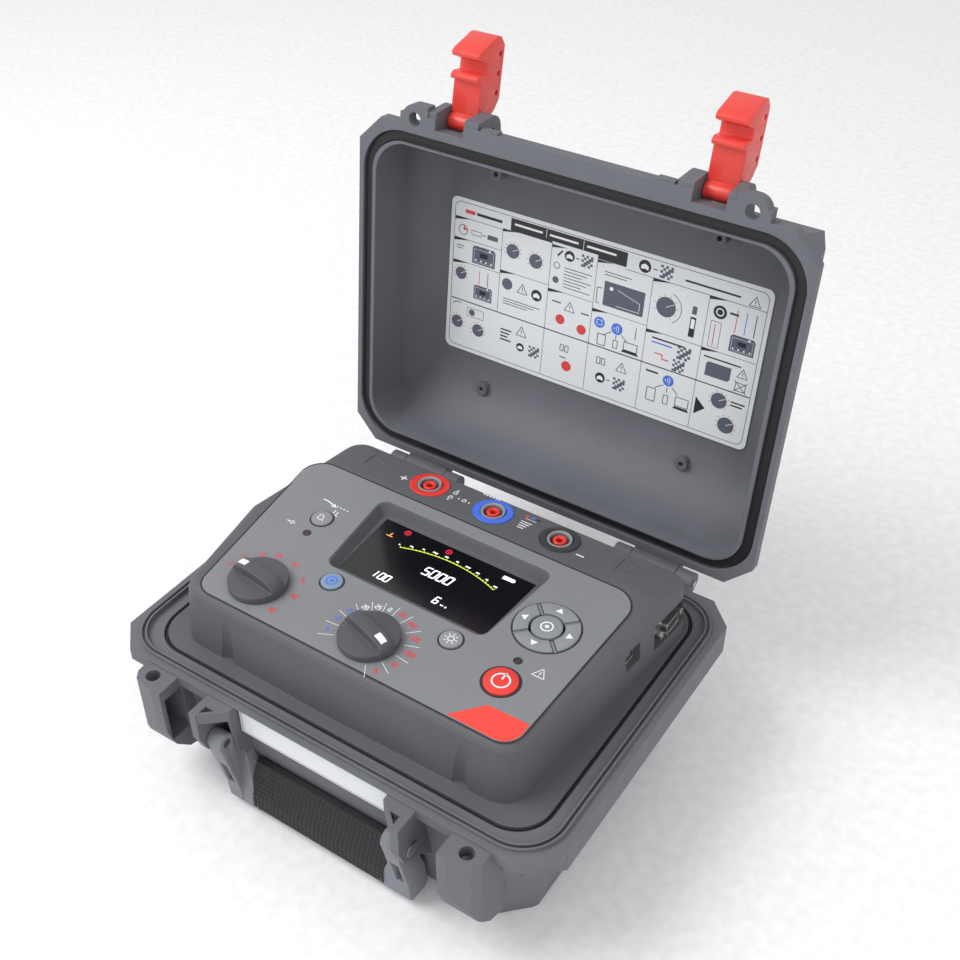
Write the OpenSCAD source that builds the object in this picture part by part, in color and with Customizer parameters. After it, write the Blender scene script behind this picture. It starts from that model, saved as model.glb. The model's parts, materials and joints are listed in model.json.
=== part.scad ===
// Insulation resistance tester: a hinged carrying case with an instrument panel inside.
// X points right, Y points to the hinge, Z points up. The origin is on the ground, under the
// middle of the case. The lid stands open at rest, and the latches point away from it.

/* [Case] */
// Height of the sealing ridge above the ground
ridge_z = 98; // [97:0.5:99]
// Half width of the sealing ridge
ridge_x = 150.9; // [150.5:0.1:151.2]
// Half depth of the sealing ridge
ridge_y = 111.8; // [111.5:0.1:112]
// Half width of the outer rim
rim_x = 158; // [157.8:0.1:158.5]
// Front edge of the lid's rim, in front of the middle
rim_front = 121; // [120.5:0.1:121.5]
// Front edge of the base's rim, in front of the middle
base_front = 118; // [117.5:0.1:118.3]
// Back edge of the outer rim, behind the middle
rim_back = 120.5; // [120:0.1:121]
// Thickness of the case walls
wall = 3.5; // [3:0.1:4]
// Half width of the case at the ground
foot_x = 133.3; // [132:0.1:135]
// Front face of the case at the ground
foot_front = 98; // [97:0.5:100]
// Back face of the case at the ground
foot_back = 98; // [97:0.5:100]

/* [Lid] */
// How far the lid stands open from closed, in degrees
lid_angle = 96.3; // [90:0.1:100]
// Hinge axis behind the middle
hinge_y = 129.6; // [129.2:0.1:130]
// Hinge axis above the ground
hinge_z = 93.5; // [93.2:0.1:93.8]
// Inside depth of the lid
lid_depth = 55.5; // [55.3:0.1:56]
// Outside height of the lid
lid_height = 58.5; // [58:0.5:59.5]
// Width of the guide label
label_w = 239; // [230:1:240]
// Height of the guide label
label_h = 115; // [110:1:116]

/* [Instrument] */
// Height of the control panel above the ground
panel_z = 138; // [137.5:0.1:138.5]
// Half width of the panel flange
flange_x = 138.6; // [138.4:0.1:138.8]
// Half depth of the panel flange
flange_y = 103; // [102.8:0.1:103.2]
// How far the panel walls lean out towards the flange
draft = 4; // [3:0.5:4]
// Thickness of the panel moulding
skin = 3; // [2.5:0.1:3]
// Height of the display glass above the ground
glass_z = 131; // [130.5:0.1:131.5]

/* [Controls] */
// Diameter of a rotary knob
knob_d = 37.5; // [36:0.5:38]
// Height of a rotary knob above the panel
knob_h = 11.2; // [10.5:0.1:11.3]
// Diameter of a small round button
button_d = 13.8; // [13:0.1:14]
// Diameter of the test button
test_d = 20.5; // [20:0.1:21]
// Diameter of the arrow button ring
nav_d = 40; // [39:0.5:41]
// Height of the buttons above the faceplate
button_proud = 1.2; // [1:0.1:1.4]

/* [Terminals and connectors] */
// Distance between the test terminals
terminal_pitch = 50.3; // [50:0.1:50.5]
// Diameter of a coloured terminal ring
ring_d = 27; // [26:0.5:27.5]
// Diameter of the bore for a test lead plug
plug_d = 4.1; // [4.05:0.01:4.2]
// Distance between the serial connector's jackscrews
jack_pitch = 24.99; // [24.99:0.01:25]

/* [Latches and handle] */
// Distance of each latch from the middle
latch_x = 88.5; // [88:0.1:89]
// Width of a latch
latch_w = 20; // [19:0.1:20.2]
// How far the latches are turned from closed, in degrees
latch_angle = 95; // [90:1:100]
// Thickness of the lid's inner latch ear
ear_t = 10; // [9:0.5:11]
// Distance of the padlock eyes from the middle
eye_x = 114.8; // [114.5:0.1:115]
// Radius of the padlock eyes
eye_r = 4.5; // [4:0.1:4.5]
// Height of the handle pivot above the ground
pivot_z = 67; // [66:0.5:68]

/* [Hidden] */
$fn = 64;
gap = 0.3;
rest_z = ridge_z - 2.5;
closed_z = rest_z + gap;
ledge_z = ridge_z - 3.6;
flange_z = ridge_z - 3.2;
flange_mid = 2.7;
seat_room = 2.6;
bracket_z = ridge_z - 4;
skirt_z = ridge_z - 24;
channel_w = 7.2;
gasket_z = closed_z + 2.5;
channel_depth = 6.5;
eye_y = 124.8;
pin_y = 124;
pin_z = closed_z + 18;
pivot_y = 124;
overlay_t = 0.4;
overlay_z = panel_z + overlay_t;
shelf_z = panel_z - 2.4;
terminal_y = 76;
window_t = 1.5;
seat_z = flange_z - skin;
knob_at = [[-80, -61], [4.5, -61.5]];
lock_at = [-86.3, 7.3];
blue_at = [-43.9, -35.5];
light_at = [44, -35.9];
test_at = [85.6, -47.3];
nav_at = [85.1, 2.9];
ok_r = 9.4;
led_at = [[-85.6, -8.7], [85, -28.6]];
led_r = 1.9;
shaft_r = 3;
knob_disc_h = 4.8;
grip_half = 4.3;
pointer_from = 8.6;
pointer_length = 7;
button_r = button_d / 2;
button_list = [[lock_at, button_r], [blue_at, button_r], [light_at, button_r], [test_at, test_d / 2]];
serial_at = [130, 67.5, panel_z - 22];
usb_at = [127, 27, panel_z - 19];
inlet_at = [-127.5, 38, panel_z - 18];
case_screw_at = [[-112, -66], [112, -66], [-112, 66], [112, 66]];
cover_at = [0, 50];
cover_size = [104, 66];
boss_at = [[-81, -85], [80.5, -85], [-81, 77.5], [80.5, 77.5]];
knuckle_r = 7.4;
hinge_pin_r = 2.5;
hinge_spans = [[64, 76], [76.4, 109.6], [110, 122]];
function_angle = 173;
range_angle = -18;
board_top = 110;
button_low = panel_z - skin - 1.6;
panel_discs = [[-108, -74, 13], [0, -75, 13.4], [104, -72, 15], [122, 79, 12], [-110, 79, 12],
    [-121, -5, 13]];
recess_discs = [[-52, -17.5, 3.5], [52, -17.5, 3.5], [57.5, 38, 3.5], [-58.5, 38, 3.5]];
faceplate_discs = [[-99.5, -71.5, 12.5], [103.5, -71.5, 12.5], [102, 38, 17], [-114.5, 41, 14]];
label_bay_x = 56.6;
label_face_y = 114.4;
label_low = ridge_z - 26.6;

// ---------- shared shapes ----------

// Convex outline round a list of discs [x, y, radius], listed anticlockwise.
module rounded_outline(discs) {
    count = len(discs);
    tangents = [for (i = [0 : count - 1]) let(
        a = discs[i],
        b = discs[(i + 1) % count],
        run = [b[0] - a[0], b[1] - a[1]],
        length = norm(run),
        along = run / length,
        lean = (a[2] - b[2]) / length,
        out = [along[1], -along[0]] * sqrt(1 - lean * lean) + along * lean)
        each [[a[0], a[1]] + a[2] * out, [b[0], b[1]] + b[2] * out]];
    polygon(tangents);
    for (disc = discs) translate([disc[0], disc[1]]) circle(r = disc[2]);
}

// Rounded rectangle about the middle, or about y_mid.
function box_discs(half_x, half_y, r) = [[r - half_x, r - half_y, r], [half_x - r, r - half_y, r],
    [half_x - r, half_y - r, r], [r - half_x, half_y - r, r]];

module plate(discs, z, t) {
    translate([0, 0, z]) linear_extrude(t) rounded_outline(discs);
}

// Profile with X across and Z up, extruded both ways along Y.
module along_y(reach = 250) {
    rotate([90, 0, 0]) translate([0, 0, -reach]) linear_extrude(2 * reach) children();
}

// Profile with Y across and Z up, extruded along X from one place to another.
module along_x(from = -250, to = 250) {
    translate([from, 0, 0]) rotate([90, 0, 90]) linear_extrude(to - from) children();
}

module both_sides() {
    children();
    mirror([1, 0, 0]) children();
}

// A closed-lid shape, turned to where the lid stands.
module on_lid() {
    translate([0, hinge_y, hinge_z]) rotate([-lid_angle, 0, 0]) translate([0, -hinge_y, -hinge_z]) children();
}

// Four-sided shape whose sides lean in towards the ground.
module leaning_case(top_x, top_front, top_back, top_corner, inset, z_low, z_top) {
    low_x = foot_x - inset;
    low_front = foot_front - inset;
    low_back = foot_back - inset;
    bevel = inset > 0 ? 0.5 : 3;
    low_corner = top_corner - 23.5;
    intersection() {
        along_y() polygon([[bevel - low_x, z_low], [low_x - bevel, z_low], [low_x, z_low + bevel],
            [top_x, z_top], [-top_x, z_top], [-low_x, z_low + bevel]]);
        along_x() polygon([[bevel - low_front, z_low], [low_back - bevel, z_low], [low_back, z_low + bevel],
            [top_back, z_top], [-top_front, z_top], [-low_front, z_low + bevel]]);
        rotate([0, 0, 45]) corner_lean(low_corner, top_corner, z_low, z_top);
        rotate([0, 0, -45]) corner_lean(low_corner, top_corner, z_low, z_top);
    }
}

module corner_lean(low, top, z_low, z_top) {
    along_y(300) polygon([[-low, z_low], [low, z_low], [top, z_top], [-top, z_top]]);
}

// Plan of the rim with bevelled corners.
module rim_plan(front, cut = 17) {
    polygon([[cut - rim_x, -front], [rim_x - cut, -front], [rim_x, cut - front], [rim_x, rim_back - cut],
        [rim_x - cut, rim_back], [cut - rim_x, rim_back], [-rim_x, rim_back - cut], [-rim_x, cut - front]]);
}

module screw(r_head, head_t, r_shank, length) {
    difference() {
        union() {
            cylinder(r = r_head, h = head_t);
            translate([0, 0, head_t]) cylinder(r = r_shank, h = length);
        }
        translate([-r_head * 0.6, -0.5, -1]) cube([r_head * 1.2, 1, 1 + head_t * 0.5]);
        translate([-0.5, -r_head * 0.6, -1]) cube([1, r_head * 1.2, 1 + head_t * 0.5]);
    }
}

// ---------- case base ----------

// Plan of the plate with the padlock eye.
module eye_plan() {
    polygon([[101, -106], [101, -134.2], [107.6, -134.9], [122, -131.6], [125.5, -126.7], [126.5, -106]]);
}

// Bracket that carries the handle, and the block under the padlock eye beyond the latch.
module front_bracket() {
    // hood over the handle leg
    difference() {
        union() {
            translate([0, 0, bracket_z - 8]) linear_extrude(8)
                polygon([[56.8, -106], [56.8, -121.5], [72, -134.8], [76.5, -134.8], [76.5, -106]]);
            along_x(56.8, 59.3) polygon([[-106, bracket_z], [-121.5, bracket_z], [-121.5, bracket_z - 10],
                [-118, pivot_z - 12], [-103, pivot_z - 24]]);
            along_x(71, 76.5) polygon([[-106, bracket_z], [-134.8, bracket_z], [-134.8, pivot_z + 6],
                [-130, pivot_z - 7], [-118, pivot_z - 12], [-103, pivot_z - 28]]);
        }
        // opening in the top of the hood
        translate([0, 0, bracket_z - 9]) linear_extrude(10)
            polygon([[64.6, -125.4], [71.2, -125.4], [71.2, -131.4]]);
        translate([59, -pivot_y, pivot_z]) rotate([0, 90, 0]) cylinder(r = 3, h = 19);
    }
    // block under the padlock eye, with room for the shackle
    difference() {
        union() {
            translate([0, 0, bracket_z - 8.5]) linear_extrude(8.5) eye_plan();
            intersection() {
                linear_extrude(100) eye_plan();
                along_x(100, 127) polygon([[-95, bracket_z - 4], [-136, bracket_z - 4], [-134, 58],
                    [-129, 44], [-119, 33], [-95, 26]]);
            }
        }
        translate([98, -131, bracket_z - 44]) cube([23, 14.5, 35.5]);
    }
}

module eye_lug(z, t) {
    difference() {
        translate([0, 0, z]) linear_extrude(t) {
            translate([eye_x, -eye_y]) circle(r = 9.5);
            translate([eye_x - 9.5, -eye_y]) square([19, 12]);
            translate([eye_x - 9.9, -eye_y - 9.5]) square([9.9, 21.5]);
        }
        translate([eye_x, -eye_y, z - 1]) cylinder(r = eye_r, h = t + 2);
    }
}

module hinge_leaf(spans, z_top, back_y) {
    for (span = spans) along_x(span[0], span[1]) {
        translate([hinge_y, hinge_z]) circle(r = knuckle_r);
        polygon([[back_y, z_top - 22], [hinge_y + knuckle_r * 0.6, hinge_z - knuckle_r * 0.8],
            [hinge_y, hinge_z + 2], [back_y, z_top - 4]]);
    }
}

module base_shell() {
    color("#6b6d75") difference() {
        union() {
            leaning_case(148, 112, 112, 172, 0, 0, ridge_z - 10);
            translate([0, 0, ridge_z - 10.5]) linear_extrude(ledge_z - ridge_z + 10.5) rim_plan(base_front);
            // skirt round the sides and the back
            difference() {
                translate([0, 0, skirt_z]) linear_extrude(ledge_z - skirt_z) rim_plan(109);
                intersection() {
                    translate([0, 0, skirt_z - 1]) linear_extrude(ridge_z - 10.4 - skirt_z) rim_plan(105.5);
                    translate([-154.5, -130, 0]) cube([309, 247, 120]);
                }
            }
            difference() {
                translate([0, 0, ledge_z - 1]) linear_extrude(rest_z - ledge_z + 1) rim_plan(base_front);
                plate(box_discs(ridge_x - 1.9, ridge_y - 1.9, 26), ledge_z - 2, 20);
            }
            // two sealing ridges with a groove between them
            for (step = [0, 1]) difference() {
                plate(box_discs(ridge_x + 2.1 - step * 3, ridge_y + 2.1 - step * 3, 29 - step * 3),
                    ledge_z - 1, ridge_z - ledge_z + 1);
                plate(box_discs(ridge_x + 0.9 - step * 3, ridge_y + 0.9 - step * 3, 27.8 - step * 3),
                    ledge_z - 2, 20);
            }
            // pad behind the front label
            along_x(-label_bay_x, label_bay_x) polygon([[-106, label_low - 3], [-112, label_low - 3],
                [-label_face_y, label_low], [-label_face_y, ridge_z - 5], [-106, ridge_z - 5]]);
            both_sides() front_bracket();
            both_sides() hinge_leaf([hinge_spans[0], hinge_spans[2]], ridge_z, 112);
            // ribs under the rim on the sides and the back
            both_sides() for (y = [-60, -20, 20, 60]) translate([142, y, ridge_z - 26]) cube([14, 3, 18]);
            for (x = [-45, -15, 15, 45]) translate([x - 1.5, 108, ridge_z - 26]) cube([3, 10, 18]);
        }
        // inside
        intersection() {
            leaning_case(148 - wall, 112 - wall, 112 - wall, 172 - wall, wall, wall + 0.5, ridge_z - 12);
            plate(box_discs(160, 130, 45), 0, 200);
        }
        translate([0, flange_mid, 0]) plate(box_discs(132, 93, 20), ridge_z - 30, 60);
        translate([0, flange_mid, 0])
            plate(box_discs(flange_x + seat_room, flange_y + seat_room, 22 + seat_room), seat_z, 60);
        both_sides() translate([eye_x, -eye_y, bracket_z - 10]) cylinder(r = eye_r, h = 12);
        // lid knuckle room
        both_sides() translate([hinge_spans[1][0] - 0.4, hinge_y - 10, hinge_z - 12]) cube([34, 30, 30]);
        both_sides() translate([60, hinge_y, hinge_z]) rotate([0, 90, 0]) cylinder(r = hinge_pin_r, h = 70);
        // battery opening with a seat for its cover
        translate([cover_at[0] - cover_size[0] / 2, cover_at[1] - cover_size[1] / 2, -1])
            cube([cover_size[0], cover_size[1], 3.2]);
        translate([cover_at[0] - cover_size[0] / 2 + 12, cover_at[1] - cover_size[1] / 2 + 4, -1])
            cube([cover_size[0] - 24, cover_size[1] - 8, 10]);
        for (side = [-1, 1]) translate([cover_at[0] + side * 46, cover_at[1], 0]) cylinder(r = 1.5, h = 20);
        // holes for the case screws
        for (at = case_screw_at) translate([at[0], at[1], -1]) {
            cylinder(r = 2.2, h = 20);
            cylinder(r = 4.5, h = 3.4);
        }
        // flat bay for the front label
        translate([-label_bay_x, -140, label_low]) cube([2 * label_bay_x, 140 - label_face_y, 23.6]);
    }
}

module front_label() {
    color("#d9dbdd") translate([1.2 - label_bay_x, -label_face_y - 0.5, label_low + 0.8])
        cube([2 * label_bay_x - 2.4, 0.5, 22]);
}

module hinge_pins() {
    color("#b9bcc0") both_sides() translate([63, hinge_y, hinge_z]) rotate([0, 90, 0])
        cylinder(r = hinge_pin_r, h = 60);
}

// ---------- lid ----------

module lid_outer() {
    z = closed_z;
    top = z + lid_height;
    translate([0, 0, z]) linear_extrude(8) rim_plan(rim_front);
    // wider band across the front, open where the latches pass
    difference() {
        translate([-126, -128, z]) cube([252, 20, 8]);
        both_sides() translate([latch_x - latch_w / 2 - 0.7, -130, z - 1]) cube([latch_w + 1.4, 9, 10]);
    }
    intersection() {
        translate([0, 0, z + 4]) linear_extrude(lid_height - 4) polygon([[-138, -117], [138, -117],
            [154, -101], [154, 100], [138, 116], [-138, 116], [-154, 100], [-154, -101]]);
        along_y() polygon([[-154, z], [154, z], [151, top - 30], [139, top - 7.5], [121, top], [-121, top],
            [-139, top - 7.5], [-151, top - 30]]);
        along_x() polygon([[-117, z], [116, z], [112, z + 30], [90, top], [-90, top], [-102.5, top - 4.5],
            [-110, top - 19]]);
    }
    // ribs along the sides
    both_sides() for (y = [-70, 0, 70]) along_y_rib(y);
    // ribs over the top
    for (x = [-60, 60]) along_x(x - 4, x + 4) polygon([[-108, z + 30], [-113, z + 38], [-104.5, z + 53],
        [-91, z + lid_height + 2], [88, z + lid_height + 2], [90, z + 50], [-100, z + 40]]);
}

module along_y_rib(y) {
    translate([0, y, 0]) along_y(1.5) polygon([[146, closed_z + 6], [156.5, closed_z + 6],
        [153, closed_z + 22], [147, closed_z + 24]]);
}

module lid_hollow() {
    z = closed_z;
    side_r = 24;
    back_r = 48;
    front_r = 16;
    intersection() {
        plate(box_discs(144.6, 107, 24), z - 1, lid_depth + 1);
        along_y() {
            polygon([[-144.6, z - 1], [144.6, z - 1], [143, z + lid_depth - side_r],
                [143 - side_r, z + lid_depth], [side_r - 143, z + lid_depth],
                [-143, z + lid_depth - side_r]]);
            for (side = [-1, 1]) translate([side * (143 - side_r), z + lid_depth - side_r])
                circle(r = side_r);
        }
        along_x() {
            polygon([[-107, z - 1], [107, z - 1], [106, z + lid_depth - back_r],
                [106 - back_r, z + lid_depth], [front_r - 104, z + lid_depth],
                [-104, z + lid_depth - front_r]]);
            translate([106 - back_r, z + lid_depth - back_r]) circle(r = back_r);
            translate([front_r - 104, z + lid_depth - front_r]) circle(r = front_r);
        }
    }
}

module latch_ears() {
    side = latch_w / 2 + 0.6;
    for (ear = [[latch_x - side - ear_t, latch_x - side], [latch_x + side, latch_x + side + ear_t - 4]])
        along_x(ear[0], ear[1]) {
            translate([-pin_y, pin_z]) circle(r = 9.5);
            polygon([[-pin_y - 9.5, pin_z], [-pin_y - 8, closed_z + 1], [-108, closed_z + 1],
                [-108, pin_z + 14], [-pin_y, pin_z + 9.5]]);
        }
    // small stop beside the inner ear
    translate([54, -129.5, closed_z + 1]) cube([12, 14, 6]);
}

module lid_shell() {
    color("#70737b") on_lid() difference() {
        union() {
            difference() {
                union() {
                    lid_outer();
                    both_sides() latch_ears();
                    both_sides() eye_lug(closed_z, 8);
                    both_sides() lid_knuckle();
                }
                lid_hollow();
            }
            for (at = boss_at) translate([at[0], at[1], closed_z + lid_depth - 9]) cylinder(r = 4.6, h = 10);
        }
        difference() {
            plate(box_discs(ridge_x + channel_w / 2, ridge_y + channel_w / 2, 31), closed_z - 1,
                channel_depth + 1);
            plate(box_discs(ridge_x - channel_w / 2, ridge_y - channel_w / 2, 23.8), closed_z - 2, 20);
        }
        for (at = boss_at) translate([at[0], at[1], closed_z + lid_depth - 10]) cylinder(r = 1.7, h = 8);
        both_sides() translate([60, hinge_y, hinge_z]) rotate([0, 90, 0])
            cylinder(r = hinge_pin_r + 0.06, h = 70);
        both_sides() translate([latch_x - 24, -pin_y, pin_z]) rotate([0, 90, 0]) cylinder(r = 2, h = 44);
        both_sides() translate([eye_x, -eye_y, closed_z - 1]) cylinder(r = eye_r, h = 10);
    }
}

module lid_knuckle() {
    along_x(hinge_spans[1][0], hinge_spans[1][1]) {
        translate([hinge_y, hinge_z]) circle(r = knuckle_r);
        polygon([[hinge_y - 7.2, closed_z + 0.2], [hinge_y - 6, hinge_z + 3], [hinge_y + 4, hinge_z - 2],
            [hinge_y + 7.3, hinge_z + 1], [hinge_y + 3, closed_z + 7], [108, closed_z + 8],
            [108, closed_z + 0.2]]);
    }
}

module lid_gasket() {
    color("#1c1c1e") on_lid() difference() {
        plate(box_discs(ridge_x + 3.5, ridge_y + 3.5, 30.8), gasket_z, channel_depth - 2.5);
        plate(box_discs(ridge_x - 3.5, ridge_y - 3.5, 24), gasket_z - 1, 10);
    }
}

module guide_label() {
    color("#dfe2e6") on_lid() translate([0, -1.5, 0])
        plate(box_discs(label_w / 2, label_h / 2, 5), closed_z + lid_depth - 0.8, 0.8);
}

// ---------- latches ----------

// Latch in its closed direction: the pin is at the origin and the arm hangs down.
module latch(side) {
    inner = -latch_w / 2;
    on_lid() translate([side * latch_x, -pin_y, pin_z]) rotate([-latch_angle, 0, 0]) difference() {
        along_x(inner, -inner) {
            circle(r = 5.6);
            polygon([[5, 1.5], [1.5, -5.5], [2, -7], [2, -26.9], [6.2, -27.2], [6.8, -29.5], [4.5, -31.6],
                [-3, -32], [-3, -38], [7, -41.2], [7.8, -43.5], [5.5, -45.6], [-12, -53.5], [-16, -53.5],
                [-21, -48], [-21, -15], [-17, -9], [-5.6, 1]]);
        }
        for (drop = [19, 31, 43]) translate([inner - 1, -17, -drop]) rotate([0, 90, 0])
            cylinder(r = 1.7, h = latch_w + 2);
        // hollow in the arm's outer face
        translate([inner + 3, -25, -34]) cube([latch_w - 6, 10, 16]);
        translate([inner - 1, 0, 0]) rotate([0, 90, 0]) cylinder(r = 2.06, h = latch_w + 2);
    }
}

module left_latch() {
    color("#d5342b") latch(-1);
}

module right_latch() {
    color("#d5342b") latch(1);
}

module latch_pins() {
    color("#b9bcc0") on_lid() both_sides() translate([latch_x - latch_w / 2 - 9, -pin_y, pin_z])
        rotate([0, 90, 0]) cylinder(r = 2, h = latch_w + 15);
}

// ---------- handle ----------

module handle_frame() {
    color("#7c7f86") difference() {
        union() {
            both_sides() along_x(59.8, 70.4) {
                translate([-pivot_y, pivot_z]) circle(r = 6.5);
                polygon([[-pivot_y - 6.5, pivot_z], [-120.5, 20], [-119.5, 7], [-117, 4.5], [-104.5, 4.5],
                    [-102.5, 8], [-104, 24], [-pivot_y + 6.5, pivot_z]]);
            }
            // gusset where each leg meets the bar
            both_sides() intersection() {
                along_x(44, 60) polygon([[-119.6, 7], [-117, 4.5], [-104.5, 4.5], [-102.5, 8], [-105, 44],
                    [-111, 46], [-118.6, 20]]);
                along_y() polygon([[44, 0], [60, 0], [60, 46], [54, 32]]);
            }
            along_x(-60, 60) polygon([[-117.6, 8], [-116, 4.5], [-105, 4.5], [-102.5, 8], [-103.5, 26],
                [-105.5, 38], [-108.4, 38], [-117.6, 18]]);
        }
        both_sides() translate([55, -pivot_y, pivot_z]) rotate([0, 90, 0]) cylinder(r = 3.06, h = 20);
        // pockets in the front of the legs
        both_sides() along_x(62.2, 68) polygon([[-140, 24], [-117, 24], [-121, 46], [-140, 46]]);
    }
}

module handle_grip() {
    color("#232325") difference() {
        along_x(-53, 53) polygon([[-119.6, 8.2], [-119.6, 18.6], [-109.6, 40.4], [-105.4, 40.4],
            [-104.4, 36], [-106, 20], [-106, 8.2]]);
        along_x(-54, 54) polygon([[-117.6, 8], [-116, 4.5], [-105, 4.5], [-102.5, 8], [-103.5, 26],
            [-105.5, 38], [-108.4, 38], [-117.6, 18]]);
        both_sides() intersection() {
            along_x(43, 61) square([400, 400], center = true);
            along_y() polygon([[43.7, 0], [61, 0], [61, 60], [53.7, 32]]);
        }
    }
}

module handle_pins() {
    color("#9fa2a6") both_sides() translate([60, -pivot_y, pivot_z]) rotate([0, 90, 0]) {
        cylinder(r = 3, h = 16.6);
        translate([0, 0, 16.5]) cylinder(r = 4.6, h = 1.2);
    }
}

// ---------- instrument panel ----------

function panel_levels(low, high, inset) = [[low, draft - inset], [high - 5, 0.4 - inset],
    [high - 2, -0.8 - inset], [high - 0.6, -2.4 - inset], [high, -4.5 - inset]];

// Outline of the display glass, grown or shrunk by a margin.
module glass_outline(margin) {
    polygon([[-54 - margin, -17 - margin], [54 + margin, -17 - margin], [57 + margin, 37.5 + margin],
        [-57 - margin, 37.5 + margin]]);
}

module panel_block(low, high, inset) {
    hull() for (disc = panel_discs, level = panel_levels(low, high, inset))
        translate([disc[0], disc[1], level[0] - 0.02]) cylinder(r = disc[2] + level[1], h = 0.02, $fn = 48);
}

// Posts that the case screws hold, from the case floor to the panel.
module screw_posts() {
    for (at = case_screw_at) translate([at[0], at[1], wall + 0.8])
        cylinder(r = 5.5, h = panel_z - skin - wall);
}

module slope_behind() {
    translate([0, 60, panel_z]) rotate([-7, 0, 0]) translate([-160, 0, 0]) cube([320, 80, 30]);
}

module connector_recess(at, size) {
    translate([at[0], at[1] - size[0] / 2, at[2] - size[1] / 2]) cube([30, size[0], size[1]]);
}

module button_holes(extra) {
    for (item = button_list) translate([item[0][0], item[0][1], panel_z - 10])
        cylinder(r = item[1] + extra, h = 20);
    translate([nav_at[0], nav_at[1], panel_z - 10]) cylinder(r = nav_d / 2 + extra, h = 20);
    for (at = led_at) translate([at[0], at[1], panel_z - 10]) cylinder(r = led_r + extra / 2, h = 20);
}

module instrument_panel() {
    color("#55575c") difference() {
        union() {
            translate([0, flange_mid, 0]) plate(box_discs(flange_x, flange_y, 22), seat_z, skin);
            panel_block(flange_z - 1, panel_z, 0);
            screw_posts();
        }
        difference() {
            panel_block(seat_z - 1, panel_z - skin, skin);
            screw_posts();
            // floor under the display
            plate([for (disc = recess_discs) [disc[0], disc[1], disc[2] + 5]], glass_z - window_t - 2, 12);
            // pads behind the connectors
            translate([serial_at[0] - 4, 45, flange_z - 6]) cube([12, 45, 50]);
            translate([usb_at[0] - 4, 15, flange_z - 5]) cube([12, 25, 50]);
            translate([inlet_at[0] - 8, 22, flange_z - 5]) cube([12, 32, 50]);
        }
        for (at = case_screw_at) translate([at[0], at[1], 0]) cylinder(r = 1.6, h = 26);
        slope_behind();
        // display opening
        hull() for (disc = recess_discs, level = [[glass_z, -1.2], [panel_z + 1, 3]])
            translate([disc[0], disc[1], level[0]]) cylinder(r = disc[2] + level[1], h = 0.5, $fn = 32);
        translate([0, 0, glass_z - window_t]) linear_extrude(5) glass_outline(0);
        translate([0, 0, glass_z - 10]) linear_extrude(12) glass_outline(-1.5);
        // controls
        for (at = knob_at) translate([at[0], at[1], panel_z - 12]) cylinder(r = 4, h = 20);
        button_holes(0.3);
        // terminals
        for (step = [-1, 0, 1]) translate([step * terminal_pitch, terminal_y, panel_z - 20])
            cylinder(r = 8.3, h = 40);
        // finger slots in the front wall
        for (x = [-84, 87]) translate([x, -94, flange_z]) {
            cylinder(r = 6, h = 33);
            translate([0, 0, 33]) sphere(r = 6);
        }
        // connectors
        connector_recess(serial_at, [36, 19]);
        connector_recess([serial_at[0] - 8, serial_at[1], serial_at[2]], [19.4, 10.6]);
        connector_recess(usb_at, [15, 14]);
        connector_recess([usb_at[0] - 8, usb_at[1], usb_at[2]], [9, 8.4]);
        mirror([1, 0, 0]) connector_recess([-inlet_at[0] - 9, inlet_at[1], inlet_at[2]], [23, 11]);
    }
    // raised warning triangles beside the terminals
    color("#55575c") for (side = [-1, 1]) translate([side * 97, 77, panel_z - 2.4]) rotate([-7, 0, 0])
        difference() {
            cylinder(r = 11.5, h = 0.8, $fn = 3);
            translate([0, 0, -1]) cylinder(r = 8.5, h = 3, $fn = 3);
        }
}

module faceplate() {
    color("#84868c") difference() {
        plate(faceplate_discs, panel_z, overlay_t);
        for (at = knob_at) translate([at[0], at[1], panel_z - 12]) cylinder(r = 4, h = 20);
        button_holes(0.3);
        plate([for (disc = recess_discs) [disc[0], disc[1], disc[2] + 3.4]], panel_z - 1, 4);
    }
}

module display_window() {
    color("#08090b") translate([0, 0, glass_z - window_t]) linear_extrude(window_t) glass_outline(-0.1);
}

module display_module() {
    color("#2f5d3a") translate([-60, -26, glass_z - window_t - 9]) cube([120, 72, 1.6]);
    color("#9a9da1") translate([-52, -14.5, glass_z - window_t - 7.4]) cube([104, 49, 7.2]);
}

// ---------- rotary controls ----------

// Half profile of the knob, from its foot to its rounded crown.
module knob_profile() {
    r = knob_d / 2;
    polygon([[0, 0], [r - 0.4, 0], [r, 0.4], [r - 0.2, knob_disc_h], [r - 1, knob_h - 4.6],
        [r - 2.4, knob_h - 2.3], [r - 4.4, knob_h - 1], [r - 8, knob_h - 0.25], [r - 12, knob_h],
        [0, knob_h]]);
}

// Knob turned so that its grip points along an angle.
module knob(at, angle) {
    r = knob_d / 2;
    color("#3f4146") translate([at[0], at[1], overlay_z + gap]) rotate([0, 0, angle]) difference() {
        rotate_extrude() knob_profile();
        // flats on both sides of the grip
        for (side = [0, 180]) rotate([0, 0, side]) translate([0, 0, knob_disc_h]) linear_extrude(knob_h)
            polygon([[-r - 1, grip_half + 0.5], [0, grip_half], [r + 1, grip_half + 0.5], [r + 1, r + 1],
                [-r - 1, r + 1]]);
        // recess under the skirt, round the shaft boss
        difference() {
            translate([0, 0, -1]) cylinder(r = r - 2.4, h = 4);
            translate([0, 0, -2]) cylinder(r = 6, h = 6);
        }
        translate([0, 0, -1]) cylinder(r = shaft_r, h = knob_h - 4);
        translate([pointer_from, -2.2, knob_h - 2.6]) cube([pointer_length, 4.4, 4]);
    }
}

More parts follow.
